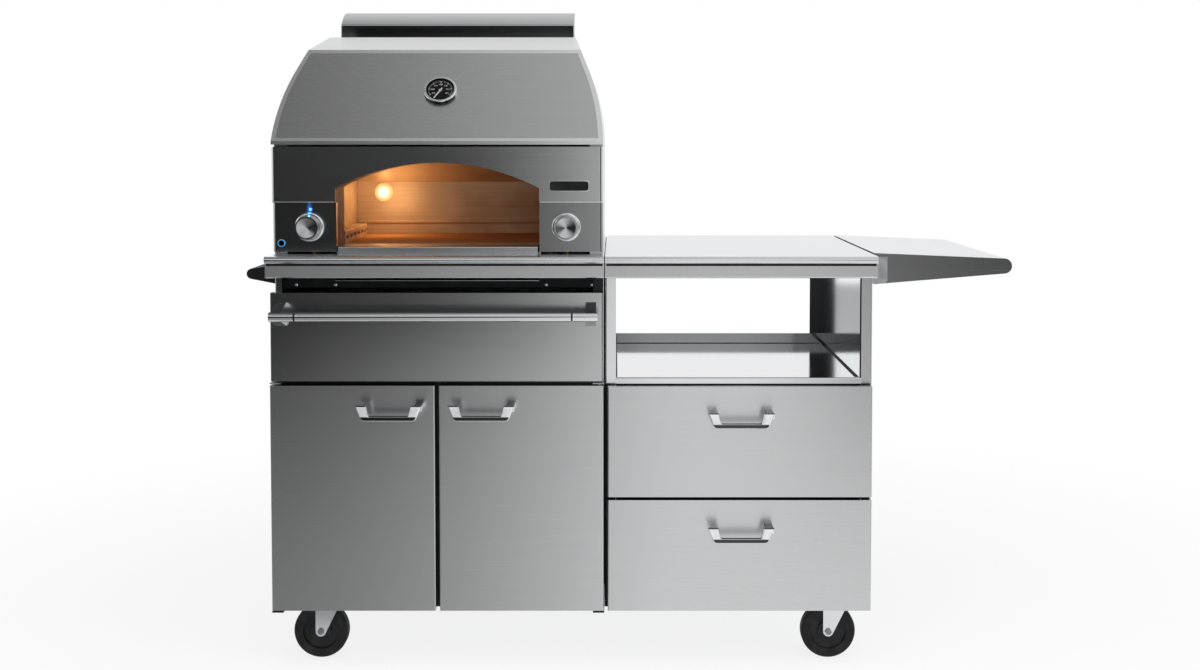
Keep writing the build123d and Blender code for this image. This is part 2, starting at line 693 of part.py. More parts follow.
# Ends of the cart
def push_handle():
    """A round bar front to back on two tapered brackets at the left end."""
    x = LEFT - HANDLE_REACH + HANDLE_R
    section = taper((WALL_L, HANDLE_ROOT_HIGH), (WALL_L, HANDLE_ROOT_LOW), (x, HANDLE_Z), HANDLE_R)
    section -= rect(DECK_L, WALL_L, APRON_Z, TOP_Z)
    y0 = FRONT + HANDLE_FRONT
    y1 = y0 + HANDLE_SPAN
    handle = along_y(disc(x, HANDLE_Z, HANDLE_R), y0, y1)
    handle += along_y(section, y0, y0 + HANDLE_BRACKET_T)
    return handle + along_y(section, y1 - HANDLE_BRACKET_T, y1)


def shelf_section(root):
    """The side shelf's tapered outline, from its root to its round tip."""
    return taper((root, SHELF_LOW), (root, SHELF_TOP), (SHELF_TIP_X, SHELF_TIP_Z), SHELF_TIP_R)


def side_shelf():
    """A hollow tapered shelf with a round outer edge, on a pivot at each end of its root."""
    y0 = SHELF_Y0 + SHELF_BRACKET_T + RUN_GAP
    y1 = SHELF_Y1 - SHELF_BRACKET_T - RUN_GAP
    shelf = along_y(shelf_section(SHELF_ROOT), y0, y1)
    room = offset(shelf_section(SHELF_ROOT - 2 * SHELF_GAP), amount=-SKIN)
    shelf -= along_y(room, y0 + SKIN, y1 - SKIN)
    boss = disc(*SHELF_PIVOT, SHELF_KNUCKLE)
    hole = disc(*SHELF_PIVOT, SHELF_PIN_R + PIN_GAP)
    for a, b in ((y0, y0 + SHELF_PIN_L), (y1 - SHELF_PIN_L, y1)):
        shelf += along_y(boss, a, b)
        shelf -= along_y(hole, a, b)
    return shelf


def shelf_brackets():
    """The two plates that carry the side shelf, each with its pivot pin."""
    x, z = SHELF_PIVOT
    plate = rect(RIGHT, x, z, z + SHELF_BRACKET_H - SHELF_KNUCKLE)
    plate += rect(RIGHT, x, z - SHELF_KNUCKLE, z) + disc(x, z, SHELF_KNUCKLE)
    plate += rect(x, x + SHELF_KNUCKLE, z, z + SHELF_BRACKET_H - SHELF_KNUCKLE)
    plate -= rect(RIGHT, COUNTER_R, APRON_Z, TOP_Z)
    pin = disc(x, z, SHELF_PIN_R)
    y0, y1 = SHELF_Y0, SHELF_Y1
    front = along_y(plate, y0, y0 + SHELF_BRACKET_T) + along_y(pin, y0, y0 + SHELF_BRACKET_T + SHELF_PIN_L)
    rear = along_y(plate, y1 - SHELF_BRACKET_T, y1) + along_y(pin, y1 - SHELF_BRACKET_T - SHELF_PIN_L, y1)
    return [front, rear]


# Casters
def caster_plate(x, y):
    """A caster's mounting plate with the upper race of its swivel."""
    half = CASTER_PLATE / 2
    plate = block(x - half, x + half, y - half, y + half, PLATE_LOW, CASTER_H)
    plate += along_z(disc(x, y, RACE_R), PLATE_LOW - RACE_H, PLATE_LOW)
    return plate - along_z(disc(x, y, KING_R + PIN_GAP), PLATE_LOW - RACE_H, CASTER_H)


def caster_fork(x, y):
    """A swivelling fork with its king pin; the axle bolt is a solid of its own."""
    wheel_x = x - TRAIL
    edge = wheel_x - LEG_R
    leg = taper((edge, CROWN_TOP), (edge + LEG_TOP_W, CROWN_TOP), (wheel_x, AXLE_Z), LEG_R)
    leg -= disc(wheel_x, AXLE_Z, AXLE_R + PIN_GAP)
    out = LEG_IN + PLATE
    fork = along_y(leg, y - out, y - LEG_IN) + along_y(leg, y + LEG_IN, y + out)
    crown = rect(edge, edge + LEG_TOP_W, y - out, y + out) + disc(x, y, RACE_R)
    fork += along_z(crown, CROWN_TOP - CROWN_T, CROWN_TOP)
    fork += along_z(disc(x, y, KING_R), CROWN_TOP, CASTER_H - RUN_GAP)
    bolt = along_y(disc(wheel_x, AXLE_Z, AXLE_R), y - out - AXLE_HEAD_T, y + out + AXLE_HEAD_T)
    head = RegularPolygon(AXLE_HEAD_R, 6)
    for a in (y - out - PIN_GAP - AXLE_HEAD_T, y + out + PIN_GAP):
        bolt += along_y(Pos(wheel_x, AXLE_Z) * head, a, a + AXLE_HEAD_T)
    return [fork, bolt]


def caster_wheel(x, y):
    """A solid wheel with a rounded tread and dished sides round its hub."""
    half = WHEEL_W / 2
    profile = rect(AXLE_R + PIN_GAP, AXLE_Z, -half, half)
    profile = fillet(profile.vertices().sort_by(Axis.X)[-2:], WHEEL_ROUND)
    for side in (-1, 1):
        dish = rect(2 * LEG_R, WHEEL_HUB_D / 2, side * half - WHEEL_DISH, side * half + WHEEL_DISH)
        profile -= dish
    wheel = revolve(Plane.XY * profile, Axis.Y)
    return Pos(x - TRAIL, y, AXLE_Z) * wheel


# Oven
def mouth(low, grow=0.0):
    """The arched mouth's outline from a lower edge up, grown by a wall."""
    half = MOUTH_W / 2 + grow
    spring = TOP_Z + MOUTH_SPRING
    x0, x1 = OVEN_X - half, OVEN_X + half
    sides = Polyline((x0, spring), (x0, low), (x1, low), (x1, spring))
    arch = ThreePointArc(sides @ 0, (OVEN_X, spring + MOUTH_RISE + grow), sides @ 1)
    return make_face([sides, arch])


def oven_body():
    """The oven's two sides and back, one sheet folded in plan, with flanges for the front panels."""
    half = SHEET / 2
    x0, x1 = OVEN_L + half, OVEN_R - half
    y0, y1 = BODY_FRONT + half, OVEN_BACK - half
    path = [(x0 + BODY_FLANGE, y0), (x0, y0), (x0, y1), (x1, y1), (x1, y0), (x1 - BODY_FLANGE, y0)]
    return along_z(folded(path, BEND, SHEET), TOP_Z, HOOD_Z)


def arch_panel():
    """The upper front: a pan with round outer corners and the arch cut through it."""
    pan = block(OVEN_L, OVEN_R, OVEN_FRONT, BODY_FRONT, PANEL_TOP, ARCH_TOP)
    pan = fillet(pan.edges().filter_by(Axis.Z).sort_by(Axis.Y)[:2], PANEL_R)
    y0 = OVEN_FRONT + SKIN
    pan -= block(OVEN_L + PANEL_R, OVEN_R - PANEL_R, y0, BODY_FRONT, PANEL_TOP + SKIN, ARCH_TOP - SKIN)
    return pan - along_y(mouth(TOP_Z, SKIN), y0, BODY_FRONT) - along_y(mouth(TOP_Z), OVEN_FRONT, y0)


def control_panels():
    """The two lower front pans beside the mouth, with holes for the valves and the light button."""
    low = TOP_Z + PANEL_LIFT
    left, right = OVEN_X - MOUTH_W / 2, OVEN_X + MOUTH_W / 2
    pans = []
    for x0, x1, outer in ((OVEN_L, left, OVEN_L), (right, OVEN_R, OVEN_R)):
        pan = block(x0, x1, CONTROL_FACE, BODY_FRONT, low, PANEL_TOP)
        corners = pan.edges().filter_by(Axis.Z).filter_by_position(Axis.X, outer - 1, outer + 1)
        pan = fillet(corners.sort_by(Axis.Y)[:1], PANEL_R)
        room_l = max(x0 + SKIN, OVEN_L + PANEL_R)
        room_r = min(x1 - SKIN, OVEN_R - PANEL_R)
        room = rect(room_l, room_r, low + SKIN, PANEL_TOP - SKIN)
        pan -= along_y(room, CONTROL_FACE + SKIN, BODY_FRONT)
        holes = [disc(x, TOP_Z + KNOB_Z, PANEL_HOLE_R) for x in KNOBS.values()]
        holes.append(disc(*BUTTON_AT, BUTTON_SHANK_R))
        for hole in holes:
            pan -= along_y(hole, CONTROL_FACE, CONTROL_FACE + SKIN)
        pans.append(pan)
    return pans


def mouth_throat():
    """The arched tunnel from the front panels to the lining, welded to its sill."""
    ring = mouth(TOP_Z, SKIN) - mouth(TOP_Z)
    tunnel = along_y(ring, OVEN_FRONT + SKIN, LINER_FRONT)
    reach = MOUTH_W
    tunnel -= block(OVEN_X - reach, OVEN_X + reach, OVEN_FRONT, BODY_FRONT, TOP_Z, PANEL_TOP)
    half = MOUTH_W / 2 - SILL_GAP
    sill = block(OVEN_X - half, OVEN_X + half, CONTROL_FACE - SILL_GAP, LINER_FRONT, TOP_Z, STONE_TOP)
    sill = fillet(sill.edges().filter_by(Axis.X).sort_by(Axis.Y)[:2].sort_by(Axis.Z)[-1:], BEND)
    foot = half + SILL_GAP
    return tunnel + sill + block(OVEN_X - foot, OVEN_X + foot, BODY_FRONT, LINER_FRONT, TOP_Z, TOP_Z + SKIN)


def cavity(grow):
    """The lining's side outline: pit, hearth, upright back and sloped vault."""
    y0, y1 = CAVITY_FRONT - grow, CAVITY_BACK + grow
    low, high = PIT_Z - grow, TOP_Z + CAVITY_TOP + grow
    bend = TOP_Z + CAVITY_BEND
    return Polygon((y0, low), (y1, low), (y1, bend), (y1 - CAVITY_SLOPE, high), (y0, high), align=None)


def oven_liner():
    """The heat lining: a vaulted box over the burner pit, hung on the deck by its rim."""
    half = CAVITY_W / 2
    liner = along_x(cavity(SKIN), OVEN_X - half - SKIN, OVEN_X + half + SKIN)
    out = half + SKIN + LINER_RIM
    rim = rect(OVEN_X - out, OVEN_X + out, CAVITY_FRONT, CAVITY_BACK + SKIN + LINER_RIM)
    liner += along_z(rim, TOP_Z, TOP_Z + SKIN)
    liner -= along_x(cavity(0), OVEN_X - half, OVEN_X + half)
    liner -= along_y(mouth(TOP_Z), LINER_FRONT, CAVITY_FRONT)
    ledge = STONE_TOP - STONE_T - LEDGE_T
    for a, b in ((OVEN_X - half, OVEN_X - half + LEDGE), (OVEN_X + half - LEDGE, OVEN_X + half)):
        liner += block(a, b, CAVITY_FRONT, CAVITY_BACK, ledge, ledge + LEDGE_T)
    middle = Pos(OVEN_X, CAVITY_FRONT + BURNER_L / 2)
    for place in GridLocations(PIT_SLOT_PITCH, PIT_SLOT_PITCH, PIT_SLOTS, 1):
        slot = middle * place * SlotOverall(PIT_SLOT_L, PIT_SLOT_W, rotation=90)
        liner -= along_z(slot, PIT_Z - SKIN, PIT_Z)
    return liner


def hearth_stone():
    """The baking stone, on the lining's two ledges, with softened edges."""
    half = CAVITY_W / 2 - STONE_GAP
    slab = rect(OVEN_X - half, OVEN_X + half, CAVITY_FRONT + STONE_GAP, CAVITY_BACK - STONE_GAP)
    stone = along_z(slab, STONE_TOP - STONE_T, STONE_TOP)
    return fillet(stone.edges().group_by(Axis.Z)[-1], SHEET)


def gas_burners():
    """The looped burner in the pit on its feet, and the straight one behind the side guard."""
    z = PIT_Z + BURNER_R + BURNER_FOOT
    x0, x1 = OVEN_X - BURNER_W / 2, OVEN_X + BURNER_W / 2
    y0 = CAVITY_FRONT
    y1 = y0 + BURNER_L
    path = FilletPolyline((x0, y0, z), (x0, y1, z), (x1, y1, z), (x1, y0, z), radius=BURNER_BEND)
    loop = sweep(Plane((x0, y0, z), z_dir=(0, 1, 0)) * Circle(BURNER_R), path=path)
    for x in (x0, x1):
        for y in (y0 + BURNER_BEND, y1 - BURNER_BEND):
            loop += along_z(disc(x, y, BURNER_FOOT), PIT_Z, z)
    bar = disc(OVEN_X - CAVITY_W / 2 + STONE_GAP + GUARD_W / 2, STONE_TOP + GUARD_H / 2, SIDE_BURNER_R)
    return [loop, along_y(bar, CAVITY_FRONT + LEDGE, CAVITY_BACK)]


def burner_guard():
    """A slotted channel over the side burner, standing on the stone."""
    x0 = OVEN_X - CAVITY_W / 2 + STONE_GAP
    x1 = x0 + GUARD_W
    top = STONE_TOP + GUARD_H
    y0 = CAVITY_FRONT + LEDGE - STONE_GAP
    path = [(x0, STONE_TOP), (x0, top), (x1, top), (x1, STONE_TOP)]
    guard = along_y(folded(path, BEND, SHEET), y0, y0 + GUARD_L)
    pitch = GUARD_L / GUARD_SLOTS
    for n in range(GUARD_SLOTS):
        middle = y0 + (n + 0.5) * pitch
        slot = Pos(middle, STONE_TOP + GUARD_H / 2) * SlotOverall(GUARD_SLOT_L, GUARD_SLOT_H)
        guard -= along_x(slot, x1 - SHEET, x1 + SHEET)
    return guard


def oven_lamp():
    """A domed lamp lens in its ring on the back wall of the lining."""
    base = Polyline((LAMP_LENS_R, LAMP_SEAT), (LAMP_R, LAMP_SEAT), (LAMP_R, 0), (0, 0), (0, LAMP_OUT))
    rise = LAMP_OUT - LAMP_SEAT
    sphere_r = (LAMP_LENS_R**2 + rise**2) / (2 * rise)
    half = asin(LAMP_LENS_R / sphere_r) / 2
    bulge = (sphere_r * sin(half), LAMP_OUT - sphere_r * (1 - cos(half)))
    profile = make_face([base, ThreePointArc(base @ 1, bulge, base @ 0)])
    lamp = revolve(Plane.XY * profile, Axis.Y)
    return Pos(OVEN_X + LAMP_X, CAVITY_BACK, TOP_Z + LAMP_Z) * Rot(180, 0, 0) * lamp


class Hood:
    """The hood's two outlines and the round lean of its front, shared by what sits on it."""

    foot = (OVEN_FRONT, HOOD_Z + HOOD_HEM)
    crease = (OVEN_FRONT + HOOD_RUN, HOOD_Z + HOOD_HEM + HOOD_RISE)
    ridge = (crease[0] + HOOD_BAND_RUN, crease[1] + HOOD_BAND_RISE)
    crest = (ridge[0] + HOOD_TOP_RUN, ridge[1] + HOOD_TOP_RISE)
    chord = hypot(HOOD_RUN, HOOD_RISE)
    radius = (chord**2 / 4 + HOOD_BULGE**2) / (2 * HOOD_BULGE)
    sag = (radius - HOOD_BULGE) / chord
    hub = ((foot[0] + crease[0]) / 2 + sag * HOOD_RISE, (foot[1] + crease[1]) / 2 - sag * HOOD_RUN)

    @classmethod
    def lean(cls, out):
        """The front's arc from hem to crease, moved outward from its centre."""
        grow = (cls.radius + out) / cls.radius
        ends = [tuple(h + (e - h) * grow for h, e in zip(cls.hub, end)) for end in (cls.foot, cls.crease)]
        reach = (cls.radius + out) / cls.chord
        middle = (cls.hub[0] - reach * HOOD_RISE, cls.hub[1] + reach * HOOD_RUN)
        return ThreePointArc(ends[0], middle, ends[1])

    @classmethod
    def front_at(cls, z):
        """The Y of the front's arc at a height, and its outward direction there in Y and Z."""
        up = z - cls.hub[1]
        y = cls.hub[0] - sqrt(cls.radius**2 - up**2)
        return y, ((y - cls.hub[0]) / cls.radius, up / cls.radius)

    @classmethod
    def side_view(cls, low):
        """The outline in Y and Z: hem, leaning front, band, top and back."""
        back = [(OVEN_BACK, cls.crest[1]), (OVEN_BACK, low), (OVEN_FRONT, low)]
        return make_face([cls.lean(0), Polyline(cls.crease, cls.ridge, cls.crest, *back, cls.foot)])

    @classmethod
    def front_view(cls, inset=0.0):
        """The outline in X and Z: upright below the hem, then curving in to straight leaning sides."""
        half = OVEN_HALF - inset
        low = HOOD_Z - 2 * HOOD_HEM
        turn = radians(HOOD_SIDE_TURN)

        def arc_at(angle):
            return half - HOOD_SIDE_R * (1 - cos(angle)), HOOD_Z + HOOD_SIDE_R * sin(angle)

        bend = arc_at(turn)
        top = (bend[0] - (cls.crest[1] - bend[1]) * tan(turn), cls.crest[1])
        side = [Line((half, low), (half, HOOD_Z)), ThreePointArc((half, HOOD_Z), arc_at(turn / 2), bend)]
        side.append(Line(bend, top))
        other = [mirror(edge, Plane.YZ) for edge in side]
        ends = [Line((-top[0], top[1]), top), Line((-half, low), (half, low))]
        face = make_face([*side, *other, *ends])
        return Pos(OVEN_X, 0) * fillet(face.vertices().group_by(Axis.Y)[-1], HOOD_SHOULDER_R)

    @classmethod
    def solid(cls, low, inset):
        """The hood as a filled form, its outlines drawn in by an inset."""
        side, front = cls.side_view(low), cls.front_view()
        if inset:
            side, front = offset(side, amount=-inset), offset(front, amount=-inset)
        return along_x(side, OVEN_L, OVEN_R) & along_y(front, OVEN_FRONT - HOOD_BULGE, OVEN_BACK)

    @classmethod
    def raised_panel(cls):
        """The thin raised sheet on the leaning front, inside a rim on all four sides."""
        arc = cls.lean(HOOD_RAISE)
        layer = make_face([arc, Polyline(arc @ 1, cls.crease, cls.foot, arc @ 0)])
        share = HOOD_TRIM / cls.chord
        low = cls.foot[1] + share * HOOD_RISE
        high = cls.crease[1] - share * HOOD_RISE
        window = cls.front_view(HOOD_TRIM) & rect(OVEN_L, OVEN_R, low, high)
        return along_x(layer, OVEN_L, OVEN_R) & along_y(window, OVEN_FRONT - 2 * HOOD_BULGE, cls.crease[0])


def gauge_plane():
    """The plane of the gauge's seat on the leaning front, facing outward."""
    z = TOP_Z + GAUGE_Z
    y, (ny, nz) = Hood.front_at(z)
    return Plane((OVEN_X, y + ny * HOOD_RAISE, z + nz * HOOD_RAISE), x_dir=(1, 0, 0), z_dir=(0, ny, nz))


def oven_hood():
    """The loaf-shaped hood: a hollow crossing of two outlines, with a raised front and a flue hole."""
    hood = Hood.solid(HOOD_Z, 0) + Hood.raised_panel()
    hood -= Hood.solid(HOOD_Z - HOOD_HEM, SKIN)
    y0 = Hood.crest[0] + FLUE_HOLE_IN
    half = FLUE_W / 2 - FLUE_HOLE_IN
    hole = rect(OVEN_X - half, OVEN_X + half, y0, y0 + FLUE_DEPTH - 2 * FLUE_HOLE_IN)
    hood -= along_z(hole, Hood.crest[1] - HOOD_HEM, Hood.crest[1])
    return hood - extrude(gauge_plane() * Circle(GAUGE_STEM_R + GAUGE_STEM_FIT), GAUGE_T, both=True)


def flue_cover():
    """The flue's walls, open to the front, under a rounded visor with closed ends."""
    x0, x1 = OVEN_X - FLUE_W / 2, OVEN_X + FLUE_W / 2
    y0, z0 = Hood.crest
    y1 = y0 + FLUE_DEPTH
    lip = z0 + FLUE_H
    top = lip + VISOR_H
    crown = y1 - SKIN
    run = crown - y0
    arc_r = (run**2 + VISOR_H**2) / (2 * VISOR_H)
    half = asin(run / arc_r) / 2
    swell = (crown - arc_r * sin(half), top - arc_r * (1 - cos(half)))
    curve = ThreePointArc((y0, lip), swell, (crown, top))
    visor = make_face([curve, Polyline((crown, top), (y1, top), (y1, lip), (y0, lip))])
    cover = along_x(visor, x0, x1) - along_x(offset(visor, amount=-SKIN), x0 + SKIN, x1 - SKIN)
    cover -= block(x0 + SKIN, x1 - SKIN, y0 + SKIN * 2, y1 - SKIN, lip - SKIN, lip + SKIN * 2)
    for a in (x0, x1 - SKIN):
        cover += block(a, a + SKIN, y0, y1, z0, lip)
    return cover + block(x0, x1, y1 - SKIN, y1, z0, lip)


# Controls
def knob(x):
    """A turned knob with a tapered grip and a dished face, bored for its stem."""
    back = KNOB_PROUD - KNOB_LEN
    profile = Polygon(
        (STEM_R + PIN_GAP, back),
        (KNOB_R, back),
        (KNOB_R, back + KNOB_DISH),
        (KNOB_LIP_R, KNOB_PROUD),
        (KNOB_FACE_R, KNOB_PROUD),
        (0, KNOB_PROUD - KNOB_DISH),
        (0, back + STEM_BITE),
        (STEM_R + PIN_GAP, back + STEM_BITE),
        align=None,
    )
    body = revolve(Plane.XY * profile, Axis.Y)
    return Pos(x, CONTROL_FACE, TOP_Z + KNOB_Z) * Rot(180, 0, 0) * body


def stem(x):
    """A valve stem, from inside the knob to inside the valve."""
    front = CONTROL_FACE - KNOB_PROUD + KNOB_LEN - STEM_BITE + RUN_GAP
    return along_y(disc(x, TOP_Z + KNOB_Z, STEM_R), front, PIPE_Y - VALVE_L / 2 + STEM_BITE)


def knob_bezels():
    """Two domed rings round the knobs, and the light button's ring with the switch cup behind it."""
    profile = rect(BEZEL_BORE, BEZEL_R, 0, BEZEL_T)
    profile = fillet(profile.vertices().group_by(Axis.Y)[-1].sort_by(Axis.X)[-1:], BEZEL_ROUND)
    ring = Rot(180, 0, 0) * revolve(Plane.XY * profile, Axis.Y)
    rings = [Pos(x, CONTROL_FACE, TOP_Z + KNOB_Z) * ring for x in KNOBS.values()]
    cup = along_y(disc(*BUTTON_AT, BUTTON_RING_R), CONTROL_FACE - BUTTON_RING_T, CONTROL_FACE)
    cup += along_y(disc(*BUTTON_AT, BUTTON_SHANK_R - PIN_GAP), CONTROL_FACE, CONTROL_FACE + BUTTON_CUP)
    bore = disc(*BUTTON_AT, BUTTON_R + PIN_GAP)
    return [*rings, cup - along_y(bore, CONTROL_FACE - BUTTON_RING_T, CONTROL_FACE + BUTTON_CUP - SKIN)]


def light_button():
    """The oven light's push button."""
    front = CONTROL_FACE - BUTTON_PROUD
    cap = along_y(disc(*BUTTON_AT, BUTTON_R), front, front + BUTTON_LEN)
    return fillet(cap.edges().sort_by(Axis.Y)[:1], SHEET / 2)


def gauge_case():
    """The thermometer's round case with its recessed dial, needle pin and probe."""
    profile = rect(0, GAUGE_R, 0, GAUGE_T)
    profile = fillet(profile.vertices().group_by(Axis.Y)[-1].sort_by(Axis.X)[-1:], BEND)
    dial = GAUGE_T - GAUGE_DIAL_DEEP
    profile -= rect(0, GAUGE_DIAL_R, dial, GAUGE_T)
    profile += rect(0, NEEDLE_PIN_R, dial, dial + NEEDLE_PIN_L)
    profile += rect(0, GAUGE_STEM_R, -GAUGE_STEM_L, 0)
    case = revolve(Plane.XY * profile, Axis.Y)
    return gauge_plane() * Rot(90, 0, 0) * case


def gauge_needle():
    """The thermometer's needle on its hub, at the low end of the dial."""
    turn = Rot(0, 0, NEEDLE_REST)
    flat = rect(-NEEDLE_TAIL, NEEDLE_L, -NEEDLE_W / 2, NEEDLE_W / 2) + Circle(NEEDLE_HUB_R)
    flat -= Circle(NEEDLE_PIN_R + PIN_GAP)
    low = GAUGE_T - GAUGE_DIAL_DEEP + RUN_GAP
    return extrude(gauge_plane().offset(low) * turn * flat, NEEDLE_T)


def gas_manifold():
    """The pipe under the deck, its risers and two bored valves, and the inlet at the back."""
    z = TOP_Z + PIPE_Z
    low = TOP_Z + KNOB_Z - VALVE_H / 2
    inlet = OVEN_X + INLET_X
    train = along_x(disc(PIPE_Y, z, PIPE_R), KNOBS["left"] - PIPE_R, inlet + PIPE_R)
    end = CABINET_BACK + INLET_OUT
    train += along_y(disc(inlet, z, PIPE_R), PIPE_Y, end - INLET_L - INLET_HEX_L)
    for x in KNOBS.values():
        train += along_z(disc(x, PIPE_Y, PIPE_R), z, low)
        y0 = PIPE_Y - VALVE_L / 2
        train += block(x - VALVE_W / 2, x + VALVE_W / 2, y0, y0 + VALVE_L, low, low + VALVE_H)
        train += along_y(disc(x, TOP_Z + KNOB_Z, PIPE_R), CONTROL_FACE + SKIN, y0)
        train -= along_y(disc(x, TOP_Z + KNOB_Z, STEM_R + PIN_GAP), CONTROL_FACE + SKIN, y0 + VALVE_BORE)
    nut = Pos(inlet, z) * RegularPolygon(INLET_HEX / 2, 6)
    train += along_y(nut, end - INLET_L - INLET_HEX_L, end - INLET_L)
    return train + along_y(disc(inlet, z, INLET_R), end - INLET_L, end)


def build():
    """Makes every piece and writes each node."""
    oven_module = (LEFT, SPLIT_L)
    side_module = (SPLIT_R, RIGHT)
    drawers = {
        "main": Drawer((MAIN_L, MAIN_R, MAIN_LOW, MAIN_TOP), oven_module, BOX_LOW, WALL_IN),
        "upper": Drawer((SIDE_L, SIDE_R, UPPER_LOW, UPPER_TOP), side_module, BOX_LOW),
        "lower": Drawer((SIDE_L, SIDE_R, FRONTS_Z, LOWER_TOP), side_module, LOWER_BOX_LOW),
    }
    save("base_frame", base_frame())
    save("left_wall", wall(WALL_L, LEFT + WALL))
    save("centre_walls", wall(SPLIT_L, SPLIT_L - WALL), wall(SPLIT_R, SPLIT_R + WALL))
    save("right_wall", wall(RIGHT, RIGHT - WALL))
    save("rear_panel", rear_panel())
    save("mid_rail", mid_rail())
    save("bay_liner", bay_liner())
    save("oven_deck", oven_deck())
    save("counter_top", worktop(SPLIT_R, COUNTER_R, COUNTER_R))
    save("heat_shield", heat_shield())
    save("door_pivots", *door_pivots())
    save("slide_rails", *[r for d in drawers.values() for r in d.rails()])
    for name, drawer in drawers.items():
        save(f"{name}_drawer_front", front_pan(*drawer.front, DRAWER_LIP))
        save(f"{name}_drawer_box", drawer.box())
        save(f"{name}_slides", *drawer.middles())
    save("main_handle", main_handle())
    middle = (SIDE_L + SIDE_R) / 2
    save("upper_handle", pull(middle, UPPER_TOP - DRAWER_PULL_Z))
    save("lower_handle", pull(middle, LOWER_TOP - DRAWER_PULL_Z))
    left_edge, right_edge = LEFT + DOOR_EDGE, SPLIT_L - DOOR_EDGE
    save("left_door", door(left_edge, left_edge + DOOR_W, left_edge + PIVOT_IN))
    save("right_door", door(right_edge - DOOR_W, right_edge, right_edge - PIVOT_IN))
    reach = DOOR_PULL_EDGE + PULL_W / 2
    save("left_door_handle", pull(left_edge + DOOR_W - reach, DOOR_TOP - DOOR_PULL_Z))
    save("right_door_handle", pull(right_edge - DOOR_W + reach, DOOR_TOP - DOOR_PULL_Z))
    save("push_handle", push_handle())
    save("side_shelf", side_shelf())
    save("shelf_brackets", *shelf_brackets())
    save("caster_plates", *[caster_plate(*at) for at in CASTERS.values()])
    for name, at in CASTERS.items():
        save(f"{name}_fork", *caster_fork(*at))
        save(f"{name}_wheel", caster_wheel(*at))
    save("oven_body", oven_body())
    save("oven_hood", oven_hood())
    save("arch_panel", arch_panel())
    save("control_panels", *control_panels())
    save("mouth_throat", mouth_throat())
    save("oven_liner", oven_liner())
    save("hearth_stone", hearth_stone())
    save("gas_burners", *gas_burners())
    save("burner_guard", burner_guard())
    save("oven_lamp", oven_lamp())
    save("flue_cover", flue_cover())
    save("gauge_case", gauge_case())
    save("gauge_needle", gauge_needle())
    save("knob_bezels", *knob_bezels())
    save("gas_manifold", gas_manifold())
    for side, x in KNOBS.items():
        save(f"{side}_knob", knob(x))
        save(f"{side}_stem", stem(x))
    save("light_button", light_button())


os.makedirs("parts", exist_ok=True)
build()
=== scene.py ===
"""Finishes, small fittings and studio for a stainless pizza oven cart.

Laid out as an add-on: each operator dresses one group of pieces, the panel lists them, and main()
calls them in order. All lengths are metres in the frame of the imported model.
"""

import json
import math

import bmesh
import bpy
import numpy as np
from bpy.props import FloatProperty, FloatVectorProperty, IntProperty, PointerProperty
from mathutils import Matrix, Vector


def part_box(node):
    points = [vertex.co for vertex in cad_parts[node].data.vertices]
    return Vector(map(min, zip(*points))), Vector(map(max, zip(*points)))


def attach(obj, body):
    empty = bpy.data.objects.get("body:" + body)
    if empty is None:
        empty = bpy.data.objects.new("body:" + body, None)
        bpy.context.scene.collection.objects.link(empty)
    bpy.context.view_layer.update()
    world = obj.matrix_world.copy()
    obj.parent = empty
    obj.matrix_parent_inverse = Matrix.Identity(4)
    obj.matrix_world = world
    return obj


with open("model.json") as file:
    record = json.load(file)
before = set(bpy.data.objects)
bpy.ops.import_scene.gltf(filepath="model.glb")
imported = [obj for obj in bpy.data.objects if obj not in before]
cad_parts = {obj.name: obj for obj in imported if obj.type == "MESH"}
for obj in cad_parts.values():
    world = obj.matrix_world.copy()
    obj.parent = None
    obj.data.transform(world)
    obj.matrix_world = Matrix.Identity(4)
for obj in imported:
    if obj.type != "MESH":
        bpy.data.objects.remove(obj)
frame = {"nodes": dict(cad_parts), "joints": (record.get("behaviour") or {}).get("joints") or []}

bl_info = {
    "name": "Pizza Oven Cart",
    "version": (1, 0, 0),
    "blender": (4, 5, 0),
    "location": "View3D > Sidebar > Oven Cart",
    "description": "Dresses a pizza oven cart in brushed steel and sets up its studio",
    "category": "Object",
}

NODES = frame["nodes"]
JOINTS = {joint["name"]: joint for joint in frame["joints"]}
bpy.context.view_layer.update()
TURN = 2 * math.pi
FORWARD, BACKWARD, DOWN = (0.0, -1.0, 0.0), (0.0, 1.0, 0.0), (0.0, 0.0, -1.0)
WHITE = (1.0, 1.0, 1.0, 1.0)
SQUARE = 0.95  # part of a normal along an axis, for a face square to that axis
NEARLY = 0.9  # the same, for a face that may lean a little
TURNED = 0.5  # the same, for a face turned more that way than not
TOUCH = 0.001  # how near a triangle's middle lies to an edge or skin that it belongs to
CREASE, ROUND_CREASE = 40.0, 60.0  # degrees over which an edge stays sharp, on sheet and on round pieces
SCREW_SIDES, LENS_SIDES, RING_SIDES, GLASS_SIDES = 14, 24, 40, 48  # faces round each kind of turned piece


def amount(name, text, value, **kind):
    """A number property with its name, its description and its default."""
    return FloatProperty(name=name, description=text, default=value, **kind)


def share(name, text, value):
    """A property from 0 to 1."""
    return amount(name, text, value, subtype="FACTOR", min=0.0, max=1.0)


def length(name, text, value):
    """A property in metres."""
    return amount(name, text, value, subtype="DISTANCE", unit="LENGTH")


def degrees(name, text, value):
    """An angle property, from a default in degrees."""
    return amount(name, text, math.radians(value), subtype="ANGLE")


def triple(name, text, value, **kind):
    """A property of three numbers."""
    return FloatVectorProperty(name=name, description=text, size=3, default=value, **kind)


def colour(name, text, value):
    """A colour property."""
    return triple(name, text, value, subtype="COLOR", min=0.0, max=1.0)


def place(name, text, value):
    """A point in metres."""
    return triple(name, text, value, subtype="TRANSLATION", unit="LENGTH")


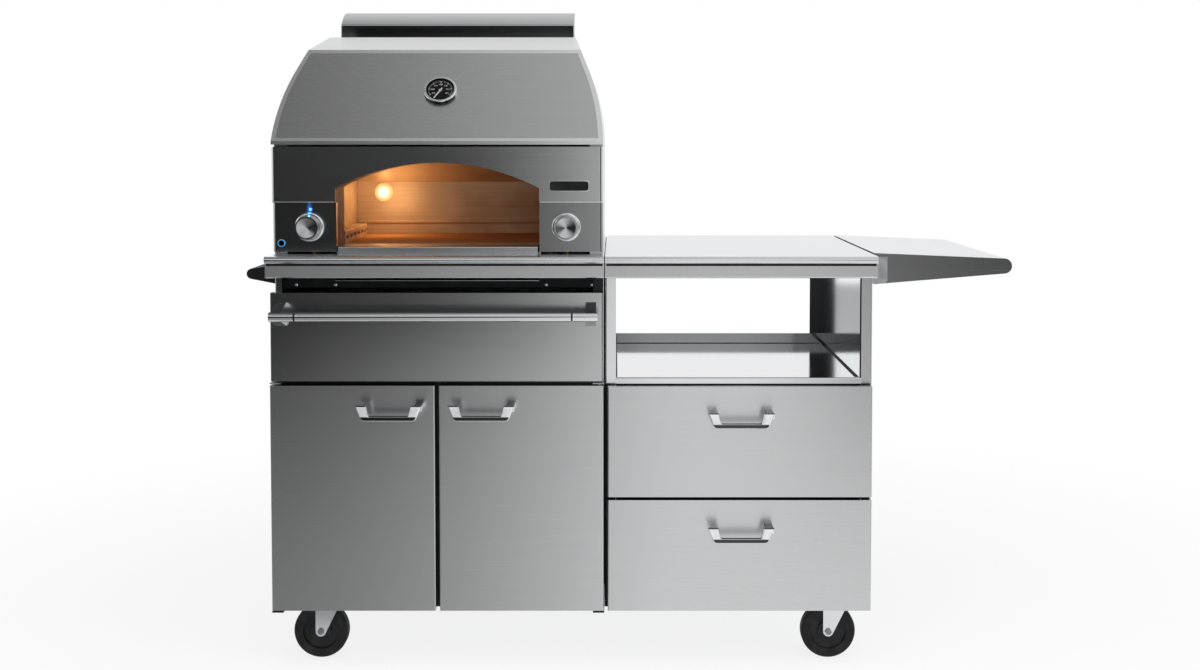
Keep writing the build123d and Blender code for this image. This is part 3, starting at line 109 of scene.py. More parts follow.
class CartFinish(bpy.types.PropertyGroup):
    """Colours and gloss of the cart's surfaces."""

    steel: colour("Steel", "Brushed sheet of the cart and oven", (0.60, 0.605, 0.61))
    steel_roughness: share("Steel roughness", "Gloss of the brushed sheet", 0.26)
    grain_relief: share("Grain relief", "Depth of the brushing", 0.022)
    grain_stretch: share("Grain stretch", "How far the brushing draws out reflections", 0.6)
    worktop: colour("Worktop", "Counter, deck, shelf and tray", (0.68, 0.705, 0.72))
    worktop_roughness: share("Worktop roughness", "Gloss of the counter, deck and shelf", 0.22)
    shaded: colour("Shaded steel", "Sheet that faces into the flue and the cabinet", (0.085, 0.085, 0.088))
    chrome: colour("Chrome", "Handles, bezels and knobs", (0.82, 0.825, 0.84))
    zinc: colour("Zinc", "Caster forks and plates, and screws", (0.74, 0.76, 0.78))
    galvanised: colour("Galvanised", "Frame, drawer boxes and slides", (0.50, 0.515, 0.53))
    # The push handle and the lower door pivots take this black as painted shade.
    enamel: colour("Enamel", "Heat shield and push handle", (0.010, 0.010, 0.011))
    # The seals that this colour also dresses are black strips of painted shade.
    rubber: colour("Rubber", "Caster wheels and seals", (0.012, 0.012, 0.013))
    lining: colour("Lining", "Heat-dulled steel inside the oven", (0.62, 0.46, 0.32))
    stone: colour("Stone", "Baking stone", (0.36, 0.15, 0.055))
    lamp: colour("Lamp", "Oven lamp", (1.0, 0.61, 0.27))
    signal: colour("Signal", "Blue light over the left knob", (0.03, 0.22, 1.0))
    dial: colour("Dial", "Thermometer dial", (0.004, 0.004, 0.005))
    print: colour("Print", "Marks on the dial", (0.86, 0.86, 0.84))


class CartFittings(bpy.types.PropertyGroup):
    """Sizes of the small fittings that only this file adds."""

    screw_radius: length("Screw radius", "Head of a sheet screw", 0.0042)
    screw_height: length("Screw height", "Head of a sheet screw above its seat", 0.0022)
    screw_inset: length("Screw inset", "Screw row from a panel's edge", 0.014)
    screw_pitch: length("Screw pitch", "Largest distance between screws in a row", 0.17)
    badge_width: length("Badge width", "Blank plate on the arch panel", 0.093)
    badge_height: length("Badge height", "Blank plate on the arch panel", 0.026)
    badge_depth: length("Badge depth", "Plate above the arch panel", 0.0025)
    badge_right: length("Badge right", "Plate's middle from the panel's right edge", 0.078)
    badge_low: length("Badge low", "Plate's middle above the panel's lower edge", 0.038)
    dial_marks: IntProperty(name="Dial marks", description="Marks round the dial", default=31, min=3)
    dial_sweep: degrees("Dial sweep", "Angle of the dial's scale", 240)
    signal_radius: length("Signal radius", "Lens above the left knob", 0.0024)
    hood_run: length("Hood run", "Hood's front from its foot back to its crease", 0.174)
    hood_rise: length("Hood rise", "Hood's front from its foot up to its crease", 0.218)
    hood_bulge: length("Hood bulge", "How far the hood's front bows out between foot and crease", 0.007)


class CartStudio(bpy.types.PropertyGroup):
    """Camera and light."""

    eye: place("Eye", "Where the camera stands", (-0.032, -3.8143, 1.2168))
    tilt: degrees("Tilt", "Camera below the horizon", 2.859)
    lens: amount("Lens", "Focal length", 46.19, subtype="DISTANCE_CAMERA")
    shift_x: amount("Shift X", "Sideways lens shift", -0.0126)
    shift_y: amount("Shift Y", "Upward lens shift", -0.10)
    fill: share("Fill", "Even light from all round", 0.55)
    floor_shadow: share("Floor shadow", "How much of the shadow shows near the cart", 0.18)
    floor_near: length("Floor near", "Radius where the floor starts to turn white", 1.1)
    floor_far: length("Floor far", "Radius where the floor is white", 2.8)
    fan: place("Fan", "Point behind the cart where the front cards' shading starts", (-0.032, 3.143, 0.0))
    lamp_power: amount("Lamp power", "Light inside the oven, in watts", 0.80)
    lamp_glow: amount("Lamp glow", "Strength of the oven lamp's lens", 4.0)


class Wire:
    """A socket that can stand in a sum: each operator adds one Math node."""

    def __init__(self, tree, socket):
        self.tree, self.socket = tree, socket

    def math(self, operation, other=0.0, swap=False):
        """One Math node on this value and another."""
        first, second = (other, self) if swap else (self, other)
        return self.tree.node("ShaderNodeMath", {"operation": operation}, {0: first, 1: second})

    def __add__(self, other):
        return self.math("ADD", other)

    def __sub__(self, other):
        return self.math("SUBTRACT", other)

    def __rsub__(self, other):
        return self.math("SUBTRACT", other, True)

    def __mul__(self, other):
        return self.math("MULTIPLY", other)

    def __truediv__(self, other):
        return self.math("DIVIDE", other)

    def __pow__(self, other):
        return self.math("POWER", other)

    __radd__ = __add__
    __rmul__ = __mul__

    def size(self):
        """The value without its sign."""
        return self.math("ABSOLUTE")

    def rise(self, low, high):
        """A straight rise from 0 to 1 as the value goes from low to high."""
        limits = {"Value": self, "From Min": low, "From Max": high}
        return self.tree.node("ShaderNodeMapRange", {"clamp": True}, limits)

    def ramp(self, low, high, start=0.0, end=1.0):
        """An eased step from start to end as the value goes from low to high."""
        limits = {"Value": self, "From Min": low, "From Max": high, "To Min": start, "To Max": end}
        return self.tree.node("ShaderNodeMapRange", {"interpolation_type": "SMOOTHSTEP"}, limits)


class Tree:
    """A node tree of a material or the world, with one method that adds any node."""

    def __init__(self, owner):
        owner.use_nodes = True
        self.owner, self.nodes, self.links = owner, owner.node_tree.nodes, owner.node_tree.links

    def node(self, kind, settings=None, sockets=None, output=0):
        """Adds a node: its settings first, then the values or links of its sockets."""
        made = self.nodes.new(kind)
        for key, value in (settings or {}).items():
            setattr(made, key, value)
        for key, value in (sockets or {}).items():
            self.plug(made.inputs[key], value)
        return Wire(self, made.outputs[output])

    def plug(self, socket, value):
        """Links a wire to a socket, or sets the socket's value."""
        if isinstance(value, Wire):
            self.links.new(value.socket, socket)
        else:
            socket.default_value = value

    def blend(self, factor, first, second):
        """A colour between two, by a factor."""
        mix = {"data_type": "RGBA", "clamp_factor": True}
        return self.node("ShaderNodeMix", mix, {0: factor, 6: first, 7: second}, 2)

    def either(self, factor, first, second):
        """A shader between two, by a factor."""
        return self.node("ShaderNodeMixShader", sockets={0: factor, 1: first, 2: second})

    def seen(self):
        """1 for camera, glossy and transmission rays, 0 for the rays that light the object."""
        path = self.node("ShaderNodeLightPath")
        outs = path.socket.node.outputs
        rays = [Wire(self, outs[n]) for n in ("Is Camera Ray", "Is Glossy Ray", "Is Transmission Ray")]
        return (rays[0] + rays[1] + rays[2]).math("MINIMUM", 1.0)


def shade(tint, factor=1.0):
    """A colour made darker or lighter, with full alpha."""
    return tuple(min(1.0, c * factor) for c in tint[:3]) + (1.0,)


class Paint(Tree):
    """A material on object coordinates, with the patterns that this cart's finishes share."""

    def __init__(self, name):
        super().__init__(bpy.data.materials.new(name))
        self.shader = self.nodes["Principled BSDF"]

    def axis(self, letter, output="Object"):
        """One object coordinate, or one part of the object's normal, as a value."""
        point = self.node("ShaderNodeTexCoord", output=output)
        return self.node("ShaderNodeSeparateXYZ", sockets={0: point}, output="XYZ".index(letter))

    def away(self, middle, letters="XZ"):
        """The distance from a middle, over two object coordinates."""
        first, second = [self.axis(letter) - part for letter, part in zip(letters, middle)]
        return (first * first + second * second) ** 0.5

    def noise(self, scale, detail=3.0):
        """Noise on object coordinates, by one scale or one for each axis."""
        scale = scale if isinstance(scale, tuple) else (scale,) * 3
        point = self.node("ShaderNodeTexCoord", output="Object")
        spread = self.node("ShaderNodeMapping", sockets={"Vector": point, "Scale": scale})
        values = {"Vector": spread, "Scale": 1.0, "Detail": detail, "Roughness": 0.55}
        return self.node("ShaderNodeTexNoise", sockets=values)

    def tones(self, mask, tint, first, second):
        """A colour between two shades of one tint, by a mask."""
        return self.blend(mask, shade(tint, first), shade(tint, second))

    def relief(self, height, strength, distance=0.0004):
        """A bump from a height."""
        values = {"Height": height, "Strength": strength, "Distance": distance}
        return self.node("ShaderNodeBump", sockets=values)

    def finish(self, **sockets):
        """Sets the shader's sockets, named with underscores for spaces, and returns the material."""
        for key, value in sockets.items():
            self.plug(self.shader.inputs[key.replace("_", " ")], value)
        return self.owner


def brushed_sheet(name, tint, roughness, tone=1.0, stretch=0.0, along="X", glow=None):
    """Brushed steel: hairlines are noise drawn out along the grain, fine and broad, and they mark
    the colour, gloss and relief. Faces turned sideways take their grain front to back. A glow is
    a function of the paint that gives the colour of light falling on the sheet."""
    paint = Paint(name)
    tint = shade(tint, tone)
    side = paint.axis("X", "Normal").size().ramp(0.6, 0.8)

    def grain(fine, slow, detail):
        deep = paint.noise((fine, slow, fine), detail)
        if along == "Y":
            return deep
        level = paint.noise((slow, fine, fine), detail)
        return level + (deep - level) * side

    line = grain(1400.0, 5.0, 2.0) * 0.55 + grain(380.0, 3.0, 3.0) * 0.45
    cloud = paint.noise(2.2, 4.0)
    lit = {"Emission_Color": glow(paint), "Emission_Strength": 1.0} if glow else {}
    return paint.finish(
        Base_Color=paint.tones(line.ramp(0.25, 0.75), tint, 0.97, 1.025),
        Metallic=1.0,
        Roughness=(line - 0.5) * 0.07 + (cloud - 0.5) * 0.06 + roughness,
        Anisotropic=stretch,
        Anisotropic_Rotation=0.25,
        Normal=paint.relief(line, bpy.context.scene.cart_finish.grain_relief),
        **lit,
    )


def polished_metal(name, tint, roughness, scratch):
    """Polished metal with faint wipe marks in its gloss."""
    paint = Paint(name)
    marks = paint.noise((60.0, 900.0, 900.0))
    cloud = paint.noise(14.0)
    gloss = (marks - 0.5) * scratch + (cloud - 0.5) * 0.05 + roughness
    base = paint.tones(cloud.ramp(0.3, 0.7), tint, 0.95, 1.04)
    return paint.finish(Base_Color=base, Metallic=1.0, Roughness=gloss)


def cast_pull(name, tint, bar_top):
    """A cast pull: bright, with the front of its bar and the tops of its legs painted dark, a painted
    reflection, and with satin fronts to its legs, which rise above the bar's top."""
    paint = Paint(name)
    front = (0.0 - paint.axis("Y", "Normal")).ramp(0.80, 0.95)
    above = paint.axis("Z").ramp(bar_top, bar_top + 0.0015)
    # Painted reflection: the bar's front and the legs' tops are painted dark.
    painted_shade_and_reflection = front * (1.0 - above) + paint.axis("Z", "Normal").ramp(0.5, 0.8) * above
    satin = front * above
    cloud = paint.noise(40.0)
    bright = paint.tones(cloud.ramp(0.3, 0.7), tint, 0.96, 1.06)
    return paint.finish(
        Base_Color=paint.blend(painted_shade_and_reflection, bright, shade(tint, 0.07)),
        Metallic=1.0 - satin * 0.7,
        Roughness=cloud * 0.06 + satin * 0.2 + 0.05,
    )


def drawn_bar(name, tint):
    """A drawn and polished bar: darker at its back, painted shade, with darker lines along its top and
    underside and a thin one a little above its middle, painted reflections, by how far the surface
    turns up, down or back."""
    paint = Paint(name)
    up = paint.axis("Z", "Normal")
    line = (up - 0.22).size().ramp(0.03, 0.12, 0.6, 0.0)
    edge = up.size().ramp(0.72, 0.88).math("MAXIMUM", paint.axis("Y", "Normal").ramp(-0.1, 0.2))
    # Painted shade at the back and painted reflections along the lines.
    painted_shade_and_reflection = (edge * 0.92).math("MAXIMUM", line)
    wipe = paint.noise((60.0, 900.0, 900.0))
    base = paint.blend(painted_shade_and_reflection, paint.tones(wipe, tint, 0.97, 1.12), shade(tint, 0.04))
    return paint.finish(Base_Color=base, Metallic=1.0, Roughness=wipe * 0.06 + 0.04)


def plated_steel(name, tint, roughness):
    """Zinc coat: crystal patches of slightly different grey, with a soft grainy gloss."""
    paint = Paint(name)
    point = paint.node("ShaderNodeTexCoord", output="Object")
    flake = paint.node("ShaderNodeTexVoronoi", sockets={"Vector": point, "Scale": 95.0}, output="Color")
    patch = paint.node("ShaderNodeSeparateColor", sockets={0: flake})
    dust = paint.noise(350.0)
    mask = patch * 0.6 + dust * 0.4
    base = paint.tones(mask.ramp(0.2, 0.8), tint, 0.86, 1.08)
    gloss = (mask - 0.5) * 0.18 + roughness
    return paint.finish(Base_Color=base, Metallic=1.0, Roughness=gloss, Normal=paint.relief(dust, 0.08))


def black_enamel(name, tint):
    """Satin black enamel with a fine orange-peel skin."""
    paint = Paint(name)
    dust = paint.noise(30.0, 4.0)
    return paint.finish(
        Base_Color=paint.tones(dust.ramp(0.35, 0.8), tint, 0.8, 1.9),
        Roughness=dust * 0.2 + 0.34,
        Specular_IOR_Level=0.2,
        Normal=paint.relief(paint.noise(420.0, 2.0), 0.12),
    )


def wheel_rubber(name, tint, gloss):
    """Moulded rubber: dull, with fine specks and scuffed patches."""
    paint = Paint(name)
    scuff = paint.noise(45.0, 4.0)
    return paint.finish(
        Base_Color=paint.tones(scuff.ramp(0.4, 0.75), tint, 0.8, 2.2),
        Roughness=scuff * 0.25 + gloss,
        Specular_IOR_Level=0.25,
        Normal=paint.relief(paint.noise(700.0, 2.0), 0.15, 0.0005),
    )


def heat_lining(name, tint):
    """Oven lining: sheet dulled and browned by heat in broad patches and along its grain."""
    paint = Paint(name)
    hair = paint.noise((4.0, 300.0, 300.0))
    browning = (paint.noise(6.0, 5.0) * 0.7 + hair * 0.3).ramp(0.3, 0.75)
    brown = shade((tint[0], tint[1] * 0.86, tint[2] * 0.66), 0.72)
    return paint.finish(
        Base_Color=paint.blend(browning, shade(tint, 1.15), brown),
        Metallic=0.55,
        Roughness=browning * 0.14 + 0.32,
        Normal=paint.relief(hair, 0.08),
    )


def fired_stone(name, tint):
    """Baking stone: fired grit with dark specks and browned patches of use."""
    paint = Paint(name)
    grit = paint.noise(260.0, 4.0)
    speck = paint.noise(90.0, 2.0).ramp(0.60, 0.72)
    scorch = paint.noise(7.0, 5.0).ramp(0.45, 0.75)
    pale = paint.tones(grit.ramp(0.3, 0.7), tint, 0.88, 1.12)
    browned = paint.blend(scorch * 0.55, pale, shade((0.26, 0.15, 0.08)))
    base = paint.blend(speck * 0.5, browned, shade((0.16, 0.11, 0.07)))
    return paint.finish(Base_Color=base, Roughness=0.82, Normal=paint.relief(grit, 0.35, 0.0008))


def cast_brass(name):
    """Gas fittings: brass with a slightly tarnished skin."""
    paint = Paint(name)
    tarnish = paint.noise(40.0, 4.0).ramp(0.35, 0.75)
    base = paint.blend(tarnish, shade((0.80, 0.60, 0.28)), shade((0.45, 0.31, 0.14)))
    return paint.finish(Base_Color=base, Metallic=1.0, Roughness=tarnish * 0.25 + 0.25)


def spun_face(name, tint, middle):
    """A turned face: rings round its axis, which runs front to back through a middle in X and Z."""
    paint = Paint(name)
    ring = (paint.away(middle) * 4200.0).math("SINE") * 0.5 + 0.5
    cloud = paint.noise(50.0, 2.0)
    return paint.finish(
        Base_Color=paint.tones(ring, tint, 0.82, 1.05),
        Metallic=1.0,
        Roughness=ring * 0.06 + cloud * 0.06 + 0.13,
        Normal=paint.relief(ring, 0.06, 0.0003),
    )


def glowing(name, tint, strength):
    """A lit lens: its colour, its gloss and a steady glow, mottled a little by its moulding."""
    paint = Paint(name)
    mottle = paint.noise(500.0, 2.0)
    base = paint.tones(mottle, tint, 0.8, 1.0)
    glow = paint.tones(mottle * 0.2, tint, 1.0, 0.75)
    return paint.finish(Base_Color=base, Roughness=0.25, Emission_Color=glow, Emission_Strength=strength)


def lit_lens(name, tint, strength, middle, radius):
    """The oven lamp's lens: white hot in the middle, deep amber at its rim. The glow falls off with
    the distance from a middle in X and Z."""
    paint = Paint(name)
    hot = paint.away(middle).ramp(radius * 0.2, radius * 0.85, 1.0, 0.0)
    rim = shade((tint[0], tint[1] * 0.75, tint[2] * 0.6), 0.22)
    return paint.finish(
        Base_Color=shade((0.25, 0.2, 0.14)),
        Roughness=0.25,
        Emission_Color=paint.blend(hot, rim, shade(tint)),
        Emission_Strength=strength,
    )


def printed(name, tint):
    """Paint on a dial, with a faint grain."""
    paint = Paint(name)
    grain = paint.noise(900.0, 2.0)
    base = paint.tones(grain, tint, 0.92, 1.05)
    return paint.finish(Base_Color=base, Roughness=grain * 0.1 + 0.45, Specular_IOR_Level=0.08)


def clear_glass(name):
    """A thin clear pane, seen by its gloss."""
    paint = Paint(name)
    smear = paint.noise(70.0)
    base = shade((0.01, 0.01, 0.01))
    return paint.finish(Base_Color=base, Roughness=smear * 0.04 + 0.01, Alpha=smear * 0.06 + 0.14, IOR=1.5)


def dress(material, *nodes):
    """Gives CAD nodes one finish."""
    for name in nodes:
        slots = NODES[name].data.materials
        slots.clear()
        slots.append(material)


def corners(name):
    """A CAD node's lowest and highest corners, as arrays."""
    low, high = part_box(name)
    return np.array(low), np.array(high)


def joint_line(name):
    """A joint's point and unit direction, as arrays."""
    joint = JOINTS[name]
    axis = np.array(joint["axis"], dtype=float)
    return np.array(joint["pos_m"], dtype=float), axis / np.linalg.norm(axis)


class Facets:
    """A CAD node's triangles: their middles in x, y and z, their normals in nx, ny and nz, and the
    node's lowest and highest corners."""

    def __init__(self, name):
        self.data = NODES[name].data
        self.low, self.high = corners(name)
        self.middles, self.normals = self.read("center"), self.read("normal")
        self.x, self.y, self.z = self.middles.T
        self.nx, self.ny, self.nz = self.normals.T

    def read(self, key):
        """One vector for each triangle, as an array."""
        values = np.empty(len(self.data.polygons) * 3)
        self.data.polygons.foreach_get(key, values)
        return values.reshape(-1, 3)

    def reach(self, mask):
        """The lowest and highest corners of some of the triangles."""
        index = np.empty(len(self.data.polygons) * 3, dtype=np.int32)
        points = np.empty(len(self.data.vertices) * 3)
        self.data.polygons.foreach_get("vertices", index)
        self.data.vertices.foreach_get("co", points)
        chosen = points.reshape(-1, 3)[index.reshape(-1, 3)[mask]].reshape(-1, 3)
        return chosen.min(axis=0), chosen.max(axis=0)

    def dress(self, mask, material):
        """Gives some triangles a finish of their own, after the node's main one."""
        self.data.materials.append(material)
        index = np.zeros(len(self.data.polygons), dtype=np.int32)
        self.data.polygons.foreach_get("material_index", index)
        index[mask] = len(self.data.materials) - 1
        self.data.polygons.foreach_set("material_index", index)

    def apron(self):
        """A mask of a worktop's upright front behind its nose."""
        nose = 0.006
        return (self.ny < -SQUARE) & (self.y > self.low[1] + nose)


def shield_slot():
    """The heat shield's triangles, with a mask of those near its front and away from its top and
    foot, where its slot lies."""
    part, rim, deep = Facets("heat_shield"), 0.003, 0.004
    between = (part.z > part.low[2] + rim) & (part.z < part.high[2] - rim)
    return part, between & (part.y < part.low[1] + deep)


def quads_of(rows, columns, first):
    """The corner numbers of a grid's quads."""
    index = first + np.arange(rows * columns).reshape(rows, columns)
    return np.stack((index[:-1, :-1], index[:-1, 1:], index[1:, 1:], index[1:, :-1]), axis=-1).reshape(-1, 4)


def piece(name, grids, material, slot, crease=CREASE):
    """One new piece from grids of points, whose quads are joined."""
    counts = np.cumsum([0] + [g.shape[0] * g.shape[1] for g in grids])
    points = np.concatenate([g.reshape(-1, 3) for g in grids])
    faces = np.concatenate([quads_of(g.shape[0], g.shape[1], n) for g, n in zip(grids, counts)])
    surface(name, points, faces, material, slot, crease)


def surface(name, points, faces, material, slot, crease=CREASE, body="cart"):
    """One new piece from points and faces: seams and poles are merged, and edges sharper than the
    crease stay sharp."""
    mesh = bpy.data.meshes.new(name)
    mesh.from_pydata(points.tolist(), [], faces.tolist())
    work = bmesh.new()
    work.from_mesh(mesh)
    bmesh.ops.remove_doubles(work, verts=work.verts, dist=1e-7)
    bmesh.ops.dissolve_degenerate(work, edges=work.edges, dist=1e-8)
    bmesh.ops.recalc_face_normals(work, faces=work.faces)
    work.to_mesh(mesh)
    work.free()
    mesh.polygons.foreach_set("use_smooth", np.ones(len(mesh.polygons), dtype=bool))
    mesh.set_sharp_from_angle(angle=math.radians(crease))
    mesh.materials.append(material)
    made = bpy.data.objects.new(name, mesh)
    bpy.context.scene.collection.objects.link(made)
    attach(made, body)


def basis(normal):
    """Two unit directions across a normal, the first as level as can be."""
    normal = np.asarray(normal, dtype=float)
    level = np.cross((0.0, 0.0, 1.0), normal)
    if np.linalg.norm(level) < 1e-6:
        level = np.array((1.0, 0.0, 0.0))
    level /= np.linalg.norm(level)
    return level, np.cross(normal, level)


def turned(origin, normal, profile, steps):
    """A profile of radius and height carried once round a normal:
    origin + radius (cos a, sin a) across the normal + height along it."""
    level, up = basis(normal)
    angle = np.linspace(0.0, TURN, steps + 1)
    ring = np.cos(angle)[:, None] * level + np.sin(angle)[:, None] * up
    radius, height = np.asarray(profile, dtype=float).T[:, :, None, None]
    return np.asarray(origin) + radius * ring[None] + height * np.asarray(normal, dtype=float)


def superellipse(power, steps):
    """Points of |x|^power + |y|^power = 1, closed, as an array of x and one of y."""
    angle = np.linspace(0.0, TURN, steps + 1)
    circle = np.stack((np.cos(angle), np.sin(angle)))
    return np.sign(circle) * np.abs(circle) ** (2 / power)


def strip(start, end, half, steps=16):
    """A bar of rounded section, closed at both ends: a superellipse of power 4 carried along a
    straight line. Its half sizes are given for each axis, 0 along the line."""
    across, rise = superellipse(4, steps)
    side, up = np.diag(half)[np.asarray(half) > 0.0]
    ring = across[:, None] * side + rise[:, None] * up
    line = np.array((start, start, end, end), dtype=float)
    swell = np.array((0.0, 1.0, 1.0, 0.0))
    return line[:, None, :] + swell[:, None, None] * ring[None]


def dome_profile(radius, height, steps=5):
    """A screw head in section: a skirt, then a quarter ellipse in to the axis, and a flat underside."""
    angle = np.linspace(0.0, math.pi / 2, steps)
    skirt = height * 0.3
    dome = np.stack((radius * np.cos(angle), skirt + (height - skirt) * np.sin(angle)), axis=-1)
    return np.concatenate(([[0.0, 0.0], [radius, 0.0]], dome))


def spaced(low, high, pitch):
    """Even places from low to high, no further apart than the pitch."""
    return np.linspace(low, high, max(2, int(math.ceil(abs(high - low) / pitch)) + 1))


class CART_OT_steel(bpy.types.Operator):
    """Dress the cart's and oven's sheet metal in brushed steel"""

    bl_idname = "cart.steel"
    bl_label = "Brushed steel"

    def execute(self, context):
        look = context.scene.cart_finish
        front = self.steel("brushed_front", stretch=look.grain_stretch)
        dress(front, "left_door", "right_door", "upper_drawer_front", "lower_drawer_front")
        dress(front, "oven_hood", "flue_cover", "rear_panel", "oven_body")
        dress(self.steel("brushed_panels", gloss=0.72), "arch_panel", "main_drawer_front")
        # The control panels take a darker copy of the steel, painted shade, and painted blue light from the
        # signal lens.
        dress(self.steel("control_sheet", 0.64, 0.72, glow=self.blue), "control_panels")
        dress(self.steel("brushed_wall", along="Y"), "left_wall", "centre_walls", "right_wall")
        self.throat(front)
        self.shadows(look)
        self.worktops(look)
        self.bay(look)
        self.edges()
        self.hood(context.scene.cart_fittings)
        return {"FINISHED"}

    def steel(self, name, tone=1.0, gloss=1.0, **grain):
        """Brushed steel, its tone and roughness as multiples of the cart's own."""
        look = bpy.context.scene.cart_finish
        return brushed_sheet(name, look.steel, look.steel_roughness * gloss, tone, **grain)

    def throat(self, front):
        """The mouth's throat, rougher and darker than the fronts, the darker tone painted shade, with a sill
        like the fronts.
        """
        dress(self.steel("throat_sheet", 0.55, 1.9), "mouth_throat")
        part, sill_height = Facets("mouth_throat"), 0.05
        sill = part.reach(part.nz > SQUARE)[0][2]
        part.dress((part.z < sill + sill_height) & (np.abs(part.nx) < TURNED), front)

    def shadows(self, look):
        """Sheet in shadow: the flue behind its front, and the rear panel's inside."""
        gloss, lip = look.steel_roughness, 0.02
        flue, rear = Facets("flue_cover"), Facets("rear_panel")
        shaded = brushed_sheet("shaded_sheet", look.shaded, gloss, 1.4)
        flue.dress((flue.ny < -TURNED) & (flue.y > flue.low[1] + lip), shaded)
        rear.dress(rear.ny < -TURNED, brushed_sheet("dark_sheet", look.shaded, gloss, 0.5))

    def worktops(self, look):
        """Counter, deck and shelf: a lighter copy of the sheet on the deck's top, painted light, and dull on
        the aprons under both noses.
        """
        tint, gloss = look.worktop, look.worktop_roughness
        dress(brushed_sheet("brushed_worktop", tint, gloss), "counter_top", "oven_deck", "side_shelf")
        counter, deck = Facets("counter_top"), Facets("oven_deck")
        deck.dress(deck.nz > SQUARE, brushed_sheet("deck_top", tint, gloss, 1.3))
        apron = self.steel("brushed_apron", 1.12, 1.45)
        for part in (counter, deck):
            part.dress(part.apron(), apron)

    def bay(self, look):
        """The open bay's lining: glossy, with its rear darker, painted shade, and its right wall lighter,
        painted light.
        """
        tint, gloss, wall_gloss = look.worktop, 0.09, 0.12
        dress(brushed_sheet("bay_sheet", tint, gloss), "bay_liner")
        part = Facets("bay_liner")
        rear = (part.ny < -TURNED) & (part.y > 0.0)
        part.dress(rear, brushed_sheet("bay_rear", tint, gloss, 0.42))
        part.dress(part.nx < -SQUARE, brushed_sheet("bay_wall", tint, wall_gloss, 1.36, along="Y"))

    def edges(self):
        """Front edges of the walls and shelf, darker at the oven's side, painted shade, and lighter beside
        the open bay, a painted highlight; and darker sheet in the gap between the wide drawer and the doors,
        painted shade."""
        dim = self.steel("dim_edge", 0.48)
        for part in (Facets("left_wall"), Facets("side_shelf")):
            part.dress(part.ny < -SQUARE, dim)
        walls, split = Facets("centre_walls"), corners("counter_top")[0][0]
        front = walls.ny < -SQUARE
        walls.dress(front & (walls.x < split), self.steel("dark_edge", 0.05))
        walls.dress(front & (walls.x > split), self.steel("bright_edge", 1.55))
        gap = self.steel("gap_sheet", 0.15)
        dress(gap, "mid_rail")
        for door in (Facets("left_door"), Facets("right_door")):
            door.dress((door.nz > NEARLY) & (door.z > door.high[2] - TOUCH), gap)
        drawer = Facets("main_drawer_front")
        drawer.dress((drawer.nz < -NEARLY) & (drawer.z < drawer.low[2] + TOUCH), gap)

    def hood(self, sizes):
        """The hood's rim round its raised front is a lighter copy of the steel, a painted highlight: it lies
        on the circle through foot and crease that bows out by the bulge, and the raised front lies outside
        that circle. The level top is a lighter copy too, painted light; the top and the visor are softer."""
        part, upright, hem_depth = Facets("oven_hood"), 0.999, 0.02
        sideways, forward, upward = 0.3, 0.4, 0.2
        hem = (part.ny < -upright) & (part.y < part.low[1] + hem_depth)
        foot = part.reach(hem)[1]
        chord = math.hypot(sizes.hood_run, sizes.hood_rise)
        radius = (chord**2 / 4 + sizes.hood_bulge**2) / (2 * sizes.hood_bulge)
        sag = (radius - sizes.hood_bulge) / chord
        hub_y = foot[1] + sizes.hood_run / 2 + sag * sizes.hood_rise
        hub_z = foot[2] + sizes.hood_rise / 2 - sag * sizes.hood_run
        away = np.hypot(part.y - hub_y, part.z - hub_z)
        leaning = (np.abs(part.nx) < sideways) & (part.ny < -forward) & (part.nz > upward)
        part.dress(hem | (leaning & (away < radius + TOUCH)), self.steel("hood_rim", 1.6))
        part.dress(part.nz > NEARLY, self.steel("hood_top", 1.15, 1.3))
        visor, raised, leant = Facets("flue_cover"), 0.3, 0.05
        visor.dress((visor.nz > raised) & (visor.ny < -leant), self.steel("visor_sheet", gloss=1.8))

    def blue(self, paint):
        """Light that the signal lens throws up the left control panel: strongest over the lens, and
        weaker upwards and to both sides."""
        low, high = corners("left_knob")
        spread, start, end, strength = 0.010, high[2] + 0.006, high[2] + 0.034, 0.75
        across = (paint.axis("X") - float(low[0] + high[0]) / 2).size().ramp(0.0, spread, 1.0, 0.0)
        height = paint.axis("Z")
        fade = height.ramp(high[2], start) * height.ramp(start, end, 1.0, 0.2)
        signal = shade(bpy.context.scene.cart_finish.signal)
        return paint.blend(across * across * fade * strength, (0.0, 0.0, 0.0, 1.0), signal)


